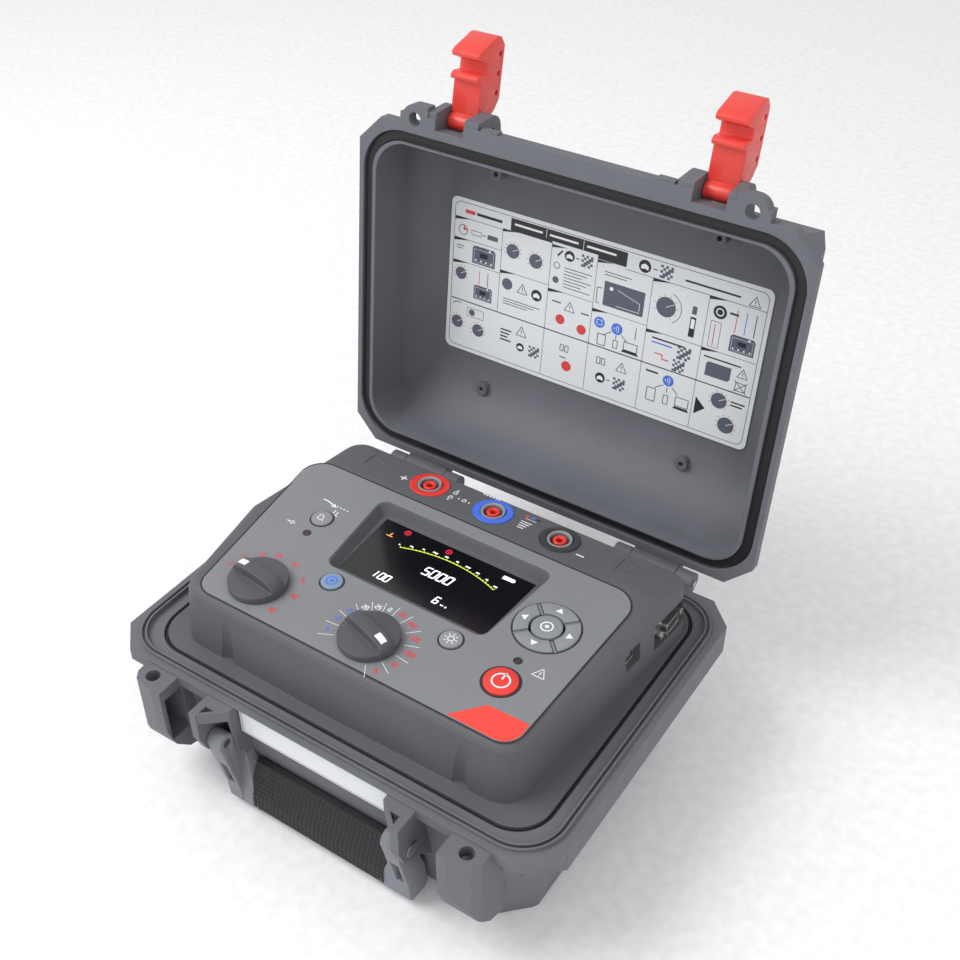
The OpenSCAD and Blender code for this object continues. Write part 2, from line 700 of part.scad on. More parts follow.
module pointer(at, angle) {
    color("#f2f2ee") translate([at[0], at[1], overlay_z + gap]) rotate([0, 0, angle]) intersection() {
        translate([pointer_from + 0.1, -2.1, knob_h - 2.6]) cube([pointer_length - 0.2, 4.2, 4]);
        rotate_extrude() knob_profile();
    }
}

module shaft(at) {
    color("#b9bcc0") translate([at[0], at[1], panel_z - 16])
        cylinder(r = shaft_r, h = 16 + overlay_t + gap + knob_h - 5);
}

module function_knob() {
    knob(knob_at[0], function_angle);
}

module range_knob() {
    knob(knob_at[1], range_angle);
}

module function_pointer() {
    pointer(knob_at[0], function_angle);
}

module range_pointer() {
    pointer(knob_at[1], range_angle);
}

module function_shaft() {
    shaft(knob_at[0]);
}

module range_shaft() {
    shaft(knob_at[1]);
}

module rotary_switches() {
    color("#3a4a66") for (at = knob_at) difference() {
        translate([at[0], at[1], panel_z - skin - 16]) cylinder(r = 13, h = 15.8);
        translate([at[0], at[1], panel_z - skin - 14]) cylinder(r = shaft_r + 0.05, h = 30);
    }
}

// ---------- buttons ----------

module round_button(at, r) {
    translate([at[0], at[1], button_low + 0.9])
        cylinder(r = r, h = overlay_z + button_proud - button_low - 0.9);
    translate([at[0], at[1], button_low + 0.1]) cylinder(r = r + 1.3, h = 1.2);
}

module lock_button() {
    color("#7d7f85") round_button(lock_at, button_d / 2);
}

module blue_button() {
    color("#5f7f9f") round_button(blue_at, button_d / 2);
}

module backlight_button() {
    color("#7d7f85") round_button(light_at, button_d / 2);
}

module test_button() {
    color("#d8372c") round_button(test_at, test_d / 2);
}

// One quarter of the arrow ring, facing an angle.
module nav_segment(angle) {
    top = overlay_z + button_proud;
    color("#7d7f85") translate([nav_at[0], nav_at[1], 0]) rotate([0, 0, angle]) intersection() {
        union() {
            translate([0, 0, button_low + 0.9]) difference() {
                cylinder(r = nav_d / 2, h = top - button_low - 0.9);
                translate([0, 0, -1]) cylinder(r = ok_r + 1.5, h = 30);
            }
            translate([0, 0, button_low + 0.1]) difference() {
                cylinder(r = nav_d / 2 + 1.3, h = 1.2);
                translate([0, 0, -1]) cylinder(r = ok_r + 1.5, h = 30);
            }
        }
        translate([1.9, 0, 0]) linear_extrude(200) polygon([[0, 0], [40, -40], [40, 40]]);
    }
}

module nav_up() {
    nav_segment(90);
}

module nav_down() {
    nav_segment(270);
}

module nav_left() {
    nav_segment(180);
}

module nav_right() {
    nav_segment(0);
}

module ok_button() {
    color("#7d7f85") translate([nav_at[0], nav_at[1], button_low + 0.1])
        cylinder(r = ok_r, h = overlay_z + button_proud - button_low - 0.1);
}

module button_board() {
    board_z = button_low - 1 - 1.6;
    color("#2f5d3a") difference() {
        union() {
            translate([68, -60, board_z]) cube([42, 86, 1.6]);
            translate([-98, -46, board_z]) cube([30, 62, 1.6]);
            translate([-70, -46, board_z]) cube([138, 18, 1.6]);
        }
        for (at = knob_at) translate([at[0], at[1], board_z - 10]) cylinder(r = 14, h = 30);
    }
}

module status_leds() {
    color("#3a1210") for (at = led_at) translate([at[0], at[1], button_low - 1])
        cylinder(r = led_r, h = overlay_z - button_low + 1.2);
}

// ---------- terminals ----------

module at_terminal(step) {
    translate([step * terminal_pitch, terminal_y, shelf_z]) children();
}

module terminal_sockets() {
    color("#8a8c90") for (step = [-1, 0, 1]) at_terminal(step) difference() {
        translate([0, 0, -24]) cylinder(r = 8.2, h = 25.2);
        translate([0, 0, -14]) cylinder(r = 6.4, h = 20);
        translate([0, 0, -30]) cylinder(r = 4.6, h = 40);
    }
}

module terminal_cores() {
    color("#c9322c") for (step = [-1, 0, 1]) at_terminal(step) difference() {
        translate([0, 0, -24]) cylinder(r = 4.5, h = 24.4);
        translate([0, 0, -20]) cylinder(r = plug_d / 2, h = 30);
    }
}

module terminal_ring(step) {
    at_terminal(step) difference() {
        rotate([-7, 0, 0]) translate([0, 0, -2]) cylinder(r = ring_d / 2, h = 3.2);
        translate([0, 0, -10]) cylinder(r = 8.4, h = 20);
        slope_seat();
    }
}

// Everything under the sloping shelf, seen from a terminal.
module slope_seat() {
    drop = (terminal_y - 60) * tan(7);
    translate([0, 0, panel_z - shelf_z - drop]) rotate([-7, 0, 0]) translate([-40, -40, -30])
        cube([80, 80, 30]);
}

module positive_ring() {
    color("#d8372c") terminal_ring(-1);
}

module guard_ring() {
    color("#3565c0") terminal_ring(0);
}

module negative_ring() {
    color("#1d1d1f") terminal_ring(1);
}

module terminal_studs() {
    color("#c8a652") for (step = [-1, 0, 1]) at_terminal(step) {
        translate([0, 0, -24 - 5]) cylinder(r = 2, h = 5);
        translate([0, 0, -24 - 7]) cylinder(r = 4, h = 2, $fn = 6);
    }
}

// ---------- connectors ----------

module d_outline(half_wide, half_narrow, half_h) {
    rounded_outline([[-half_h + 1.5, -half_narrow + 1.5, 1.5], [half_h - 1.5, -half_wide + 1.5, 1.5],
        [half_h - 1.5, half_wide - 1.5, 1.5], [-half_h + 1.5, half_narrow - 1.5, 1.5]]);
}

module serial_shell() {
    color("#c9cbc6") translate(serial_at) rotate([0, 90, 0]) difference() {
        union() {
            linear_extrude(0.8) rounded_outline(box_discs(6.2, 15.4, 1.4));
            linear_extrude(6) d_outline(8.2, 7.4, 4.2);
        }
        translate([0, 0, -1]) linear_extrude(9) d_outline(7.7, 6.9, 3.7);
        for (side = [-1, 1]) translate([0, side * jack_pitch / 2, -1]) cylinder(r = 1.6, h = 3);
    }
}

module serial_insert() {
    color("#222326") translate(serial_at) rotate([0, 90, 0]) {
        difference() {
            translate([0, 0, -3]) linear_extrude(8.4) d_outline(7.6, 6.8, 3.6);
            for (i = [-2 : 2]) translate([1.4, i * 2.77, 1]) cylinder(r = 0.5, h = 9);
            for (i = [-1.5 : 1.5]) translate([-1.4, i * 2.77, 1]) cylinder(r = 0.5, h = 9);
        }
        translate([-5, -9.5, -11]) cube([10, 19, 8.1]);
    }
}

module jackscrews() {
    color("#c9cbc6") translate(serial_at) rotate([0, 90, 0]) for (side = [-1, 1])
        translate([0, side * jack_pitch / 2, 0]) difference() {
            union() {
                translate([0, 0, 0.9]) cylinder(r = 2.9, h = 5, $fn = 6);
                translate([0, 0, -6]) cylinder(r = 1.5, h = 7);
            }
            translate([0, 0, 1.4]) cylinder(r = 1.1, h = 6);
        }
}

module usb_port() {
    color("#c9cbc6") translate(usb_at) difference() {
        translate([-9, -4.2, -3.9]) cube([10, 8.4, 7.8]);
        translate([-7, -3.8, -3.5]) cube([9, 7.6, 7]);
    }
    color("#e8e8e6") translate(usb_at) translate([-7, -2.7, -1.6]) cube([7.4, 5.4, 3.2]);
}

module mains_inlet() {
    color("#1d1d1f") translate(inlet_at) difference() {
        translate([-3, -11.3, -5.3]) cube([20, 22.6, 10.6]);
        translate([-4, -8.5, -4]) cube([15, 17, 8]);
        for (side = [-1, 1]) translate([-5, side * 4.3, 0]) rotate([0, 90, 0]) cylinder(r = 1.2, h = 40);
    }
}

module inlet_pins() {
    color("#c9cbc6") for (side = [-1, 1]) translate([inlet_at[0] - 1, inlet_at[1] + side * 4.3, inlet_at[2]])
        rotate([0, 90, 0]) cylinder(r = 1.2, h = 26);
}

// ---------- inside ----------

module main_board() {
    color("#2f5d3a") difference() {
        translate([-98, -56, board_top - 1.6]) cube([196, 112, 1.6]);
        for (at = case_screw_at) translate([at[0], at[1], 90]) cylinder(r = 7, h = 40);
    }
    color("#26272b") for (x = [-70, -30, 20]) translate([x, -20, board_top]) cube([18, 18, 3]);
}

module high_voltage_module() {
    color("#8a8c90") translate([30, -55, 64]) cube([78, 56, 38]);
}

module transformer_core() {
    color("#4a4c50") difference() {
        translate([-98, -50, 56]) cube([54, 44, 46]);
        translate([-90, -60, 64]) cube([14, 64, 30]);
        translate([-66, -60, 64]) cube([14, 64, 30]);
    }
}

module transformer_winding() {
    color("#a8682f") difference() {
        translate([-89.6, -56, 64.4]) cube([37.2, 56, 29.2]);
        translate([-76.4, -50.4, 50]) cube([10.8, 44.8, 60]);
    }
}

module battery_pack() {
    color("#2b4f8c") translate([cover_at[0] - 38, cover_at[1] - 27, 8]) cube([76, 54, 42]);
    color("#d9dbdd") translate([cover_at[0] - 20, cover_at[1] - 15, 50]) cube([40, 30, 2]);
}

module battery_cover() {
    color("#606269") difference() {
        union() {
            translate([cover_at[0] - cover_size[0] / 2 + gap, cover_at[1] - cover_size[1] / 2 + gap, 0])
                cube([cover_size[0] - 2 * gap, cover_size[1] - 2 * gap, 2]);
            translate([cover_at[0] - 39, cover_at[1] - 28, 1.5]) cube([78, 56, 4]);
        }
        translate([cover_at[0] - 36, cover_at[1] - 25, 3]) cube([72, 50, 6]);
        for (side = [-1, 1]) translate([cover_at[0] + side * 46, cover_at[1], -1]) {
            cylinder(r = 1.9, h = 6);
            cylinder(r = 3.4, h = 2.2);
        }
    }
}

module cover_screws() {
    color("#b9bcc0") for (side = [-1, 1]) translate([cover_at[0] + side * 46, cover_at[1], 0.2])
        screw(3.2, 1, 1.5, 8);
}

module case_screws() {
    color("#b9bcc0") for (at = case_screw_at) translate([at[0], at[1], 0.4]) screw(4.2, 2, 1.6, 20);
}

base_shell();
lid_shell();
lid_gasket();
guide_label();
hinge_pins();
left_latch();
right_latch();
latch_pins();
handle_frame();
handle_grip();
handle_pins();
front_label();
instrument_panel();
faceplate();
display_window();
display_module();
function_knob();
range_knob();
function_pointer();
range_pointer();
function_shaft();
range_shaft();
rotary_switches();
lock_button();
blue_button();
backlight_button();
test_button();
nav_up();
nav_down();
nav_left();
nav_right();
ok_button();
button_board();
status_leds();
terminal_sockets();
terminal_cores();
positive_ring();
guard_ring();
negative_ring();
terminal_studs();
serial_shell();
serial_insert();
jackscrews();
usb_port();
mains_inlet();
inlet_pins();
main_board();
high_voltage_module();
transformer_core();
transformer_winding();
battery_pack();
battery_cover();
cover_screws();
case_screws();
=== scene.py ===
import bpy, bmesh, json, math
from mathutils import Matrix, Vector


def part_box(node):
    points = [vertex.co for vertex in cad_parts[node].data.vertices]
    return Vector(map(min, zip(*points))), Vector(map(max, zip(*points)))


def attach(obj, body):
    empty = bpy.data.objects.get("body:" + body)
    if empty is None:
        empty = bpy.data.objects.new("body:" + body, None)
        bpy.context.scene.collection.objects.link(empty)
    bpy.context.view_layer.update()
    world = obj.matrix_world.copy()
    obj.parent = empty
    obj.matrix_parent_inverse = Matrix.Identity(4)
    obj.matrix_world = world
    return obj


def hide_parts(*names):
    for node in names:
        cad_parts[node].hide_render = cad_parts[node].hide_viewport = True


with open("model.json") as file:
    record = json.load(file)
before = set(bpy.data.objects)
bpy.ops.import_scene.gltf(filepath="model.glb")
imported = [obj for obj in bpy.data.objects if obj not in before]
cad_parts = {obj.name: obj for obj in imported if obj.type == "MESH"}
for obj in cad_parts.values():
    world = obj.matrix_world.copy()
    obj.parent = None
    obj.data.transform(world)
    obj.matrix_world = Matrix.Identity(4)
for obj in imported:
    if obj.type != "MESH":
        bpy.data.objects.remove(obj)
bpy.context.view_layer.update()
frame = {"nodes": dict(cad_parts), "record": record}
NODES = frame["nodes"]
MM = 0.001


# ---------- materials ----------

def lin(code):
    out = []
    for i in (0, 2, 4):
        v = int(code[i:i + 2], 16) / 255
        out.append(v / 12.92 if v <= 0.04045 else ((v + 0.055) / 1.055) ** 2.4)
    return out


def material(name, code, rough=0.5, metal=0.0, grain=1500, bump=0.12, blotch=0.07, wear=0.3,
             coat=0.0, edge=0.0005, vary=0.08, sheen=0.0, glow=0.0, brushed=False):
    m = bpy.data.materials.new(name)
    m.use_nodes = True
    nt = m.node_tree
    new, link = nt.nodes.new, nt.links.new
    b = nt.nodes["Principled BSDF"]
    base = lin(code)
    tc = new("ShaderNodeTexCoord")
    vec = tc.outputs["Object"]
    if brushed:
        mp = new("ShaderNodeMapping")
        mp.inputs["Scale"].default_value = (1, 1, 0.05)
        link(vec, mp.inputs["Vector"])
        vec = mp.outputs["Vector"]
    fine = new("ShaderNodeTexNoise")
    fine.inputs["Scale"].default_value = grain
    fine.inputs["Detail"].default_value = 3
    link(vec, fine.inputs["Vector"])
    big = new("ShaderNodeTexNoise")
    big.inputs["Scale"].default_value = 22
    big.inputs["Detail"].default_value = 5
    link(tc.outputs["Object"], big.inputs["Vector"])
    # colour: slow blotches and a little of the grain
    shade = new("ShaderNodeMapRange")
    shade.inputs["From Min"].default_value = 0.3
    shade.inputs["From Max"].default_value = 0.7
    link(big.outputs["Fac"], shade.inputs["Value"])
    mix = new("ShaderNodeMix")
    mix.data_type = "RGBA"
    mix.inputs[6].default_value = [v * (1 - blotch) for v in base] + [1]
    mix.inputs[7].default_value = [min(1, v * (1 + blotch)) for v in base] + [1]
    link(shade.outputs["Result"], mix.inputs[0])
    colour = mix.outputs[2]
    speck = new("ShaderNodeMapRange")
    speck.inputs["From Min"].default_value = 0.35
    speck.inputs["From Max"].default_value = 0.65
    speck.inputs["To Max"].default_value = 0.5
    link(fine.outputs["Fac"], speck.inputs["Value"])
    mix2 = new("ShaderNodeMix")
    mix2.data_type = "RGBA"
    mix2.inputs[7].default_value = [v * 0.86 for v in base] + [1]
    link(speck.outputs["Result"], mix2.inputs[0])
    link(colour, mix2.inputs[6])
    colour = mix2.outputs[2]
    bev = new("ShaderNodeBevel")
    bev.samples = 6
    bev.inputs["Radius"].default_value = edge
    if wear > 0:
        geo = new("ShaderNodeNewGeometry")
        dot = new("ShaderNodeVectorMath")
        dot.operation = "DOT_PRODUCT"
        link(geo.outputs["Normal"], dot.inputs[0])
        link(bev.outputs["Normal"], dot.inputs[1])
        mask = new("ShaderNodeMapRange")
        mask.inputs["From Min"].default_value = 0.995
        mask.inputs["From Max"].default_value = 0.8
        mask.inputs["To Max"].default_value = wear
        link(dot.outputs["Value"], mask.inputs["Value"])
        rub = new("ShaderNodeMath")
        rub.operation = "MULTIPLY"
        link(mask.outputs["Result"], rub.inputs[0])
        link(shade.outputs["Result"], rub.inputs[1])
        mix3 = new("ShaderNodeMix")
        mix3.data_type = "RGBA"
        mix3.inputs[7].default_value = [min(1, v * 1.5 + 0.05) for v in base] + [1]
        link(rub.outputs["Value"], mix3.inputs[0])
        link(colour, mix3.inputs[6])
        colour = mix3.outputs[2]
    link(colour, b.inputs["Base Color"])
    rr = new("ShaderNodeMapRange")
    rr.inputs["To Min"].default_value = max(0.03, rough - vary)
    rr.inputs["To Max"].default_value = min(1, rough + vary)
    link(big.outputs["Fac"], rr.inputs["Value"])
    link(rr.outputs["Result"], b.inputs["Roughness"])
    bp = new("ShaderNodeBump")
    bp.inputs["Strength"].default_value = bump
    bp.inputs["Distance"].default_value = 0.0003
    link(fine.outputs["Fac"], bp.inputs["Height"])
    link(bev.outputs["Normal"], bp.inputs["Normal"])
    link(bp.outputs["Normal"], b.inputs["Normal"])
    b.inputs["Metallic"].default_value = metal
    b.inputs["Coat Weight"].default_value = coat
    b.inputs["Coat Roughness"].default_value = 0.12
    if sheen:
        b.inputs["Sheen Weight"].default_value = sheen
    if glow:
        b.inputs["Emission Color"].default_value = base + [1]
        b.inputs["Emission Strength"].default_value = glow
    return m


def printed(name, code, blotch=0.05):
    return material(name, code, 0.5, grain=2600, bump=0.05, blotch=blotch, wear=0.0, edge=0.0001)


def lit(name, code, blotch, glow):
    return material(name, code, 0.4, grain=900, bump=0.0, blotch=blotch, wear=0.0, glow=glow, edge=0.0001)


M_CASE = material("case_texture", "65676d", 0.62, grain=1100, bump=0.3, wear=0.35, edge=0.0008)
M_LID = material("lid_texture", "64666d", 0.6, grain=1100, bump=0.3, blotch=0.1, wear=0.35, edge=0.0008)
M_PANEL = material("panel_texture", "585a5e", 0.6, grain=1500, bump=0.2, wear=0.3, edge=0.0007)
M_FACE = material("faceplate_print", "808286", 0.5, grain=2600, bump=0.06, blotch=0.02, wear=0.05,
                  edge=0.0003)
M_RUBBER = material("seal_rubber", "1b1b1d", 0.55, grain=1800, bump=0.2, wear=0.15)
M_GRIP = material("grip_rubber_finish", "2a2a2c", 0.7, grain=1600, bump=0.35, wear=0.25)
M_LABEL = material("label_print", "e4e7ea", 0.42, grain=2600, bump=0.03, blotch=0.015, wear=0.0,
                   edge=0.0003)
M_FRONT = material("front_label_print", "dcdee0", 0.35, grain=2600, bump=0.03, blotch=0.02,
                   wear=0.0, edge=0.0003)
M_LATCH = material("latch_plastic", "df3d33", 0.38, grain=1300, bump=0.12, blotch=0.05, wear=0.25,
                   edge=0.0009, coat=0.15)
M_HANDLE = material("handle_texture", "7c7e85", 0.6, grain=1200, bump=0.25, wear=0.35, edge=0.0009)
M_STEEL = material("pin_steel_finish", "b9bcc0", 0.34, metal=1.0, grain=900, bump=0.08, wear=0.2,
                   brushed=True)
M_KNOB = material("knob_finish", "4b4d53", 0.4, grain=1700, bump=0.1, blotch=0.04, wear=0.3,
                  edge=0.0007, coat=0.1)
M_WHITE = material("white_plastic", "f4f4f1", 0.4, grain=2400, bump=0.04, blotch=0.02, wear=0.0,
                   edge=0.0003)
M_INK_WHITE = printed("white_ink", "f2f3f5", 0.02)
M_INK_RED = printed("red_ink", "d9464a", 0.04)
M_INK_BLUE = printed("blue_ink", "4a78dc", 0.04)
M_INK_BLACK = printed("black_ink", "2b2b2e")
M_INK_GREY = printed("grey_ink", "5d6070")
M_PATCH = material("red_patch_print", "f0473c", 0.42, grain=2600, bump=0.05, blotch=0.02, wear=0.0,
                   edge=0.0002)
M_GLASS = material("window_gloss", "0b0b10", 0.12, grain=60, bump=0.0, blotch=0.3, wear=0.0,
                   vary=0.03, coat=0.4)
M_LIT_WHITE = lit("lit_white", "f4f6fa", 0.03, 0.9)
M_LIT_LIME = lit("lit_lime", "cfe23c", 0.06, 0.8)
M_LIT_RED = lit("lit_red", "e0243a", 0.05, 0.7)
M_LIT_AMBER = lit("lit_amber", "f0a040", 0.05, 0.7)
M_BUTTON = material("button_rubber", "8b8d93", 0.55, grain=1800, bump=0.12, wear=0.2)
M_BUTTON_BLUE = material("blue_button_rubber", "7f93ab", 0.55, grain=1800, bump=0.12, wear=0.2)
M_BUTTON_RED = material("red_button_rubber", "e23a30", 0.45, grain=1800, bump=0.08, wear=0.2, coat=0.1)
M_LED = material("led_lens", "3a1c1a", 0.2, grain=400, bump=0.03, wear=0.0, coat=0.5)
M_SOCKET = material("socket_plastic_finish", "8e9094", 0.42, grain=1600, bump=0.08)
M_RED = material("terminal_red", "e2342c", 0.36, grain=1600, bump=0.06, blotch=0.04, coat=0.15)
M_BLUE = material("terminal_blue", "3f6ee6", 0.4, grain=1600, bump=0.06, blotch=0.04, coat=0.1)
M_BLACK = material("terminal_black", "2c2c2e", 0.42, grain=1600, bump=0.08, coat=0.1)
M_BRASS = material("brass_finish", "c8a652", 0.3, metal=1.0, grain=900, bump=0.06, brushed=True)
M_TIN = material("tin_finish", "c9cbc6", 0.3, metal=1.0, grain=1200, bump=0.06, wear=0.1)
M_BOARD = material("board_mask", "2a5a37", 0.4, grain=700, bump=0.1, blotch=0.15, coat=0.2)
M_SWITCH = material("switch_body_finish", "3a4a66", 0.5, grain=1500)
M_CAN = material("can_aluminium", "9a9ca0", 0.38, metal=1.0, grain=900, bump=0.08, brushed=True)
M_FERRITE = material("ferrite_finish", "3c3e42", 0.75, grain=900, bump=0.3)
M_COPPER = material("winding_enamel", "a8682f", 0.35, metal=0.6, grain=1400, bump=0.3, brushed=True)
M_BATTERY = material("battery_sleeve", "2b4f8c", 0.35, grain=1200, coat=0.2)
M_COVER = material("cover_texture", "606269", 0.62, grain=1100, bump=0.3)

LOOK = {
    "base_shell": M_CASE, "lid_shell": M_LID, "instrument_panel": M_PANEL, "faceplate": M_FACE,
    "lid_gasket": M_RUBBER, "guide_label": M_LABEL, "front_label": M_FRONT, "hinge_pins": M_STEEL,
    "latch_pins": M_STEEL, "handle_pins": M_STEEL, "left_latch": M_LATCH, "right_latch": M_LATCH,
    "handle_frame": M_HANDLE, "handle_grip": M_GRIP, "display_window": M_GLASS, "display_module": M_BOARD,
    "function_knob": M_KNOB, "range_knob": M_KNOB, "function_pointer": M_WHITE, "range_pointer": M_WHITE,
    "function_shaft": M_STEEL, "range_shaft": M_STEEL, "rotary_switches": M_SWITCH, "lock_button": M_BUTTON,
    "blue_button": M_BUTTON_BLUE, "backlight_button": M_BUTTON, "test_button": M_BUTTON_RED,
    "nav_up": M_BUTTON, "nav_down": M_BUTTON, "nav_left": M_BUTTON, "nav_right": M_BUTTON,
    "ok_button": M_BUTTON, "button_board": M_BOARD, "status_leds": M_LED, "terminal_sockets": M_SOCKET,
    "terminal_cores": M_RED, "positive_ring": M_RED, "guard_ring": M_BLUE, "negative_ring": M_BLACK,
    "terminal_studs": M_BRASS, "serial_shell": M_TIN, "serial_insert": M_BLACK, "jackscrews": M_TIN,
    "usb_port": M_TIN, "mains_inlet": M_BLACK, "inlet_pins": M_TIN, "main_board": M_BOARD,
    "high_voltage_module": M_CAN, "transformer_core": M_FERRITE, "transformer_winding": M_COPPER,
    "battery_pack": M_BATTERY, "battery_cover": M_COVER, "cover_screws": M_STEEL, "case_screws": M_STEEL,
}
for name, ob in NODES.items():
    ob.data.materials.clear()
    ob.data.materials.append(LOOK[name])
    ob.data.polygons.foreach_set("material_index", [0] * len(ob.data.polygons))


# ---------- mesh tools ----------

def corner(node):
    low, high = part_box(node)
    return Vector(low) * 1000, Vector(high) * 1000


def place(ob, body):
    bpy.context.scene.collection.objects.link(ob)
    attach(ob, body)
    return ob


class Print:
    """Thin raised shapes of one material, gathered into one mesh."""

    def __init__(self, name, mat, slot, body="case", z=0.0, t=0.12, turn=None):
        self.name, self.mat, self.slot, self.body = name, mat, slot, body
        self.z, self.t = z, t
        self.turn = turn or Matrix()
        self.bm = bmesh.new()

    def poly(self, pts, z=None, t=None):
        z = self.z if z is None else z
        t = self.t if t is None else t
        area = sum(a[0] * b[1] - b[0] * a[1] for a, b in zip(pts, list(pts[1:]) + [pts[0]]))
        if area < 0:
            pts = list(reversed(pts))
        low = [self.bm.verts.new(self.turn @ Vector((x, y, z)) * MM) for x, y in pts]
        top = [self.bm.verts.new(self.turn @ Vector((x, y, z + t)) * MM) for x, y in pts]
        self.bm.faces.new(list(reversed(low)))
        self.bm.faces.new(top)
        n = len(pts)
        for i in range(n):
            j = (i + 1) % n
            self.bm.faces.new((low[i], low[j], top[j], top[i]))

    def bar(self, x0, y0, x1, y1, w):
        d = Vector((x1 - x0, y1 - y0))
        if d.length < 1e-6:
            return
        d.normalize()
        o = Vector((-d.y, d.x)) * w / 2
        self.poly([(x0 + o.x, y0 + o.y), (x0 - o.x, y0 - o.y),
                   (x1 - o.x, y1 - o.y), (x1 + o.x, y1 + o.y)])

    def box(self, x0, y0, x1, y1):
        self.poly([(x0, y0), (x1, y0), (x1, y1), (x0, y1)])

    def frame(self, x0, y0, x1, y1, w):
        for a in ((x0, y0, x1, y0), (x1, y0, x1, y1), (x1, y1, x0, y1), (x0, y1, x0, y0)):
            self.bar(*a, w)

    def disc(self, x, y, r, n=28):
        turns = [2 * math.pi * i / n for i in range(n)]
        self.poly([(x + r * math.cos(a), y + r * math.sin(a)) for a in turns])

    def arc(self, x, y, r, w, a0, a1, n=24):
        inner, outer = [], []
        for i in range(n + 1):
            a = math.radians(a0 + (a1 - a0) * i / n)
            inner.append((x + (r - w / 2) * math.cos(a), y + (r - w / 2) * math.sin(a)))
            outer.append((x + (r + w / 2) * math.cos(a), y + (r + w / 2) * math.sin(a)))
        for i in range(n):
            self.poly([inner[i], outer[i], outer[i + 1], inner[i + 1]])

    def ring(self, x, y, r, w, n=48):
        self.arc(x, y, r, w, 0, 360, n)

    def path(self, pts, w):
        for a, b in zip(pts, pts[1:]):
            self.bar(a[0], a[1], b[0], b[1], w)

    def digits(self, text, x, y, h, w=None, lean=0.0, angle=0.0, stroke=None):
        """Seven-segment numbers, centred at x, y."""
        shapes = {"0": "abcdef", "1": "bc", "2": "abged", "3": "abgcd", "4": "fgbc", "5": "afgcd",
                  "6": "afgedc", "7": "abc", "8": "abcdefg", "9": "abcdfg", "-": "g"}
        w = w or h * 0.5
        s = stroke or h * 0.14
        pitch = w * 1.45
        ca, sa = math.cos(math.radians(angle)), math.sin(math.radians(angle))

        def at(px, py):
            px += lean * py
            return (x + px * ca - py * sa, y + px * sa + py * ca)

        start = -pitch * (len(text) - 1) / 2
        for i, ch in enumerate(text):
            cx = start + i * pitch
            ends = {"a": ((-w / 2, h / 2), (w / 2, h / 2)), "g": ((-w / 2, 0), (w / 2, 0)),
                    "d": ((-w / 2, -h / 2), (w / 2, -h / 2)), "f": ((-w / 2, 0), (-w / 2, h / 2)),
                    "b": ((w / 2, 0), (w / 2, h / 2)), "e": ((-w / 2, -h / 2), (-w / 2, 0)),
                    "c": ((w / 2, -h / 2), (w / 2, 0))}
            if ch == "1":
                ends = {"b": ((0, 0), (0, h / 2)), "c": ((0, -h / 2), (0, 0))}
            for seg in shapes.get(ch, ""):
                p, q = ends[seg]
                a, b = at(cx + p[0], p[1]), at(cx + q[0], q[1])
                self.bar(a[0], a[1], b[0], b[1], s)

    def done(self):
        me = bpy.data.meshes.new(self.name)
        bmesh.ops.recalc_face_normals(self.bm, faces=self.bm.faces)
        self.bm.to_mesh(me)
        self.bm.free()
        me.materials.append(self.mat)
        return place(bpy.data.objects.new(self.name, me), self.body)


def disc_hull(discs, grow=0.0, step=6):
    """Points of the convex outline round discs x, y, r."""
    pts = []
    for x, y, r in discs:
        for i in range(0, 360, step):
            a = math.radians(i)
            pts.append((round(x + (r + grow) * math.cos(a), 4), round(y + (r + grow) * math.sin(a), 4)))
    pts = sorted(set(pts))

    def half(seq):
        out = []
        for p in seq:
            while len(out) > 1 and ((out[-1][0] - out[-2][0]) * (p[1] - out[-2][1])
                                    - (out[-1][1] - out[-2][1]) * (p[0] - out[-2][0])) <= 0:
                out.pop()
            out.append(p)
        return out[:-1]
    return half(pts) + half(reversed(pts))


def loop_band(name, loops, mat, body, closed_ends=False, smooth=True):
    """A skin through matching loops of 3-D points in millimetres."""
    bm = bmesh.new()
    rings = [[bm.verts.new(Vector(p) * MM) for p in loop] for loop in loops]
    n = len(rings[0])
    pairs = list(zip(rings, rings[1:])) + ([(rings[-1], rings[0])] if closed_ends else [])
    for a, b in pairs:
        for i in range(n):
            j = (i + 1) % n
            bm.faces.new((a[i], a[j], b[j], b[i]))
    bmesh.ops.recalc_face_normals(bm, faces=bm.faces)
    me = bpy.data.meshes.new(name)
    bm.to_mesh(me)
    bm.free()
    me.materials.append(mat)
    me.polygons.foreach_set("use_smooth", [smooth] * len(me.polygons))
    ob = bpy.data.objects.new(name, me)
    if smooth:
        ob.modifiers.new("edges", "EDGE_SPLIT").split_angle = math.radians(40)
    return place(ob, body)


def lathe(name, profile, mat, body, matrix, n=72):
    """Closed ring: profile of r, z pairs turned about the matrix's Z axis."""
    turns = [2 * math.pi * i / n for i in range(n)]
    loops = []
    for r, z in profile:
        loops.append([matrix @ Vector((r * math.cos(a), r * math.sin(a), z)) for a in turns])
    return loop_band(name, loops, mat, body, closed_ends=True)


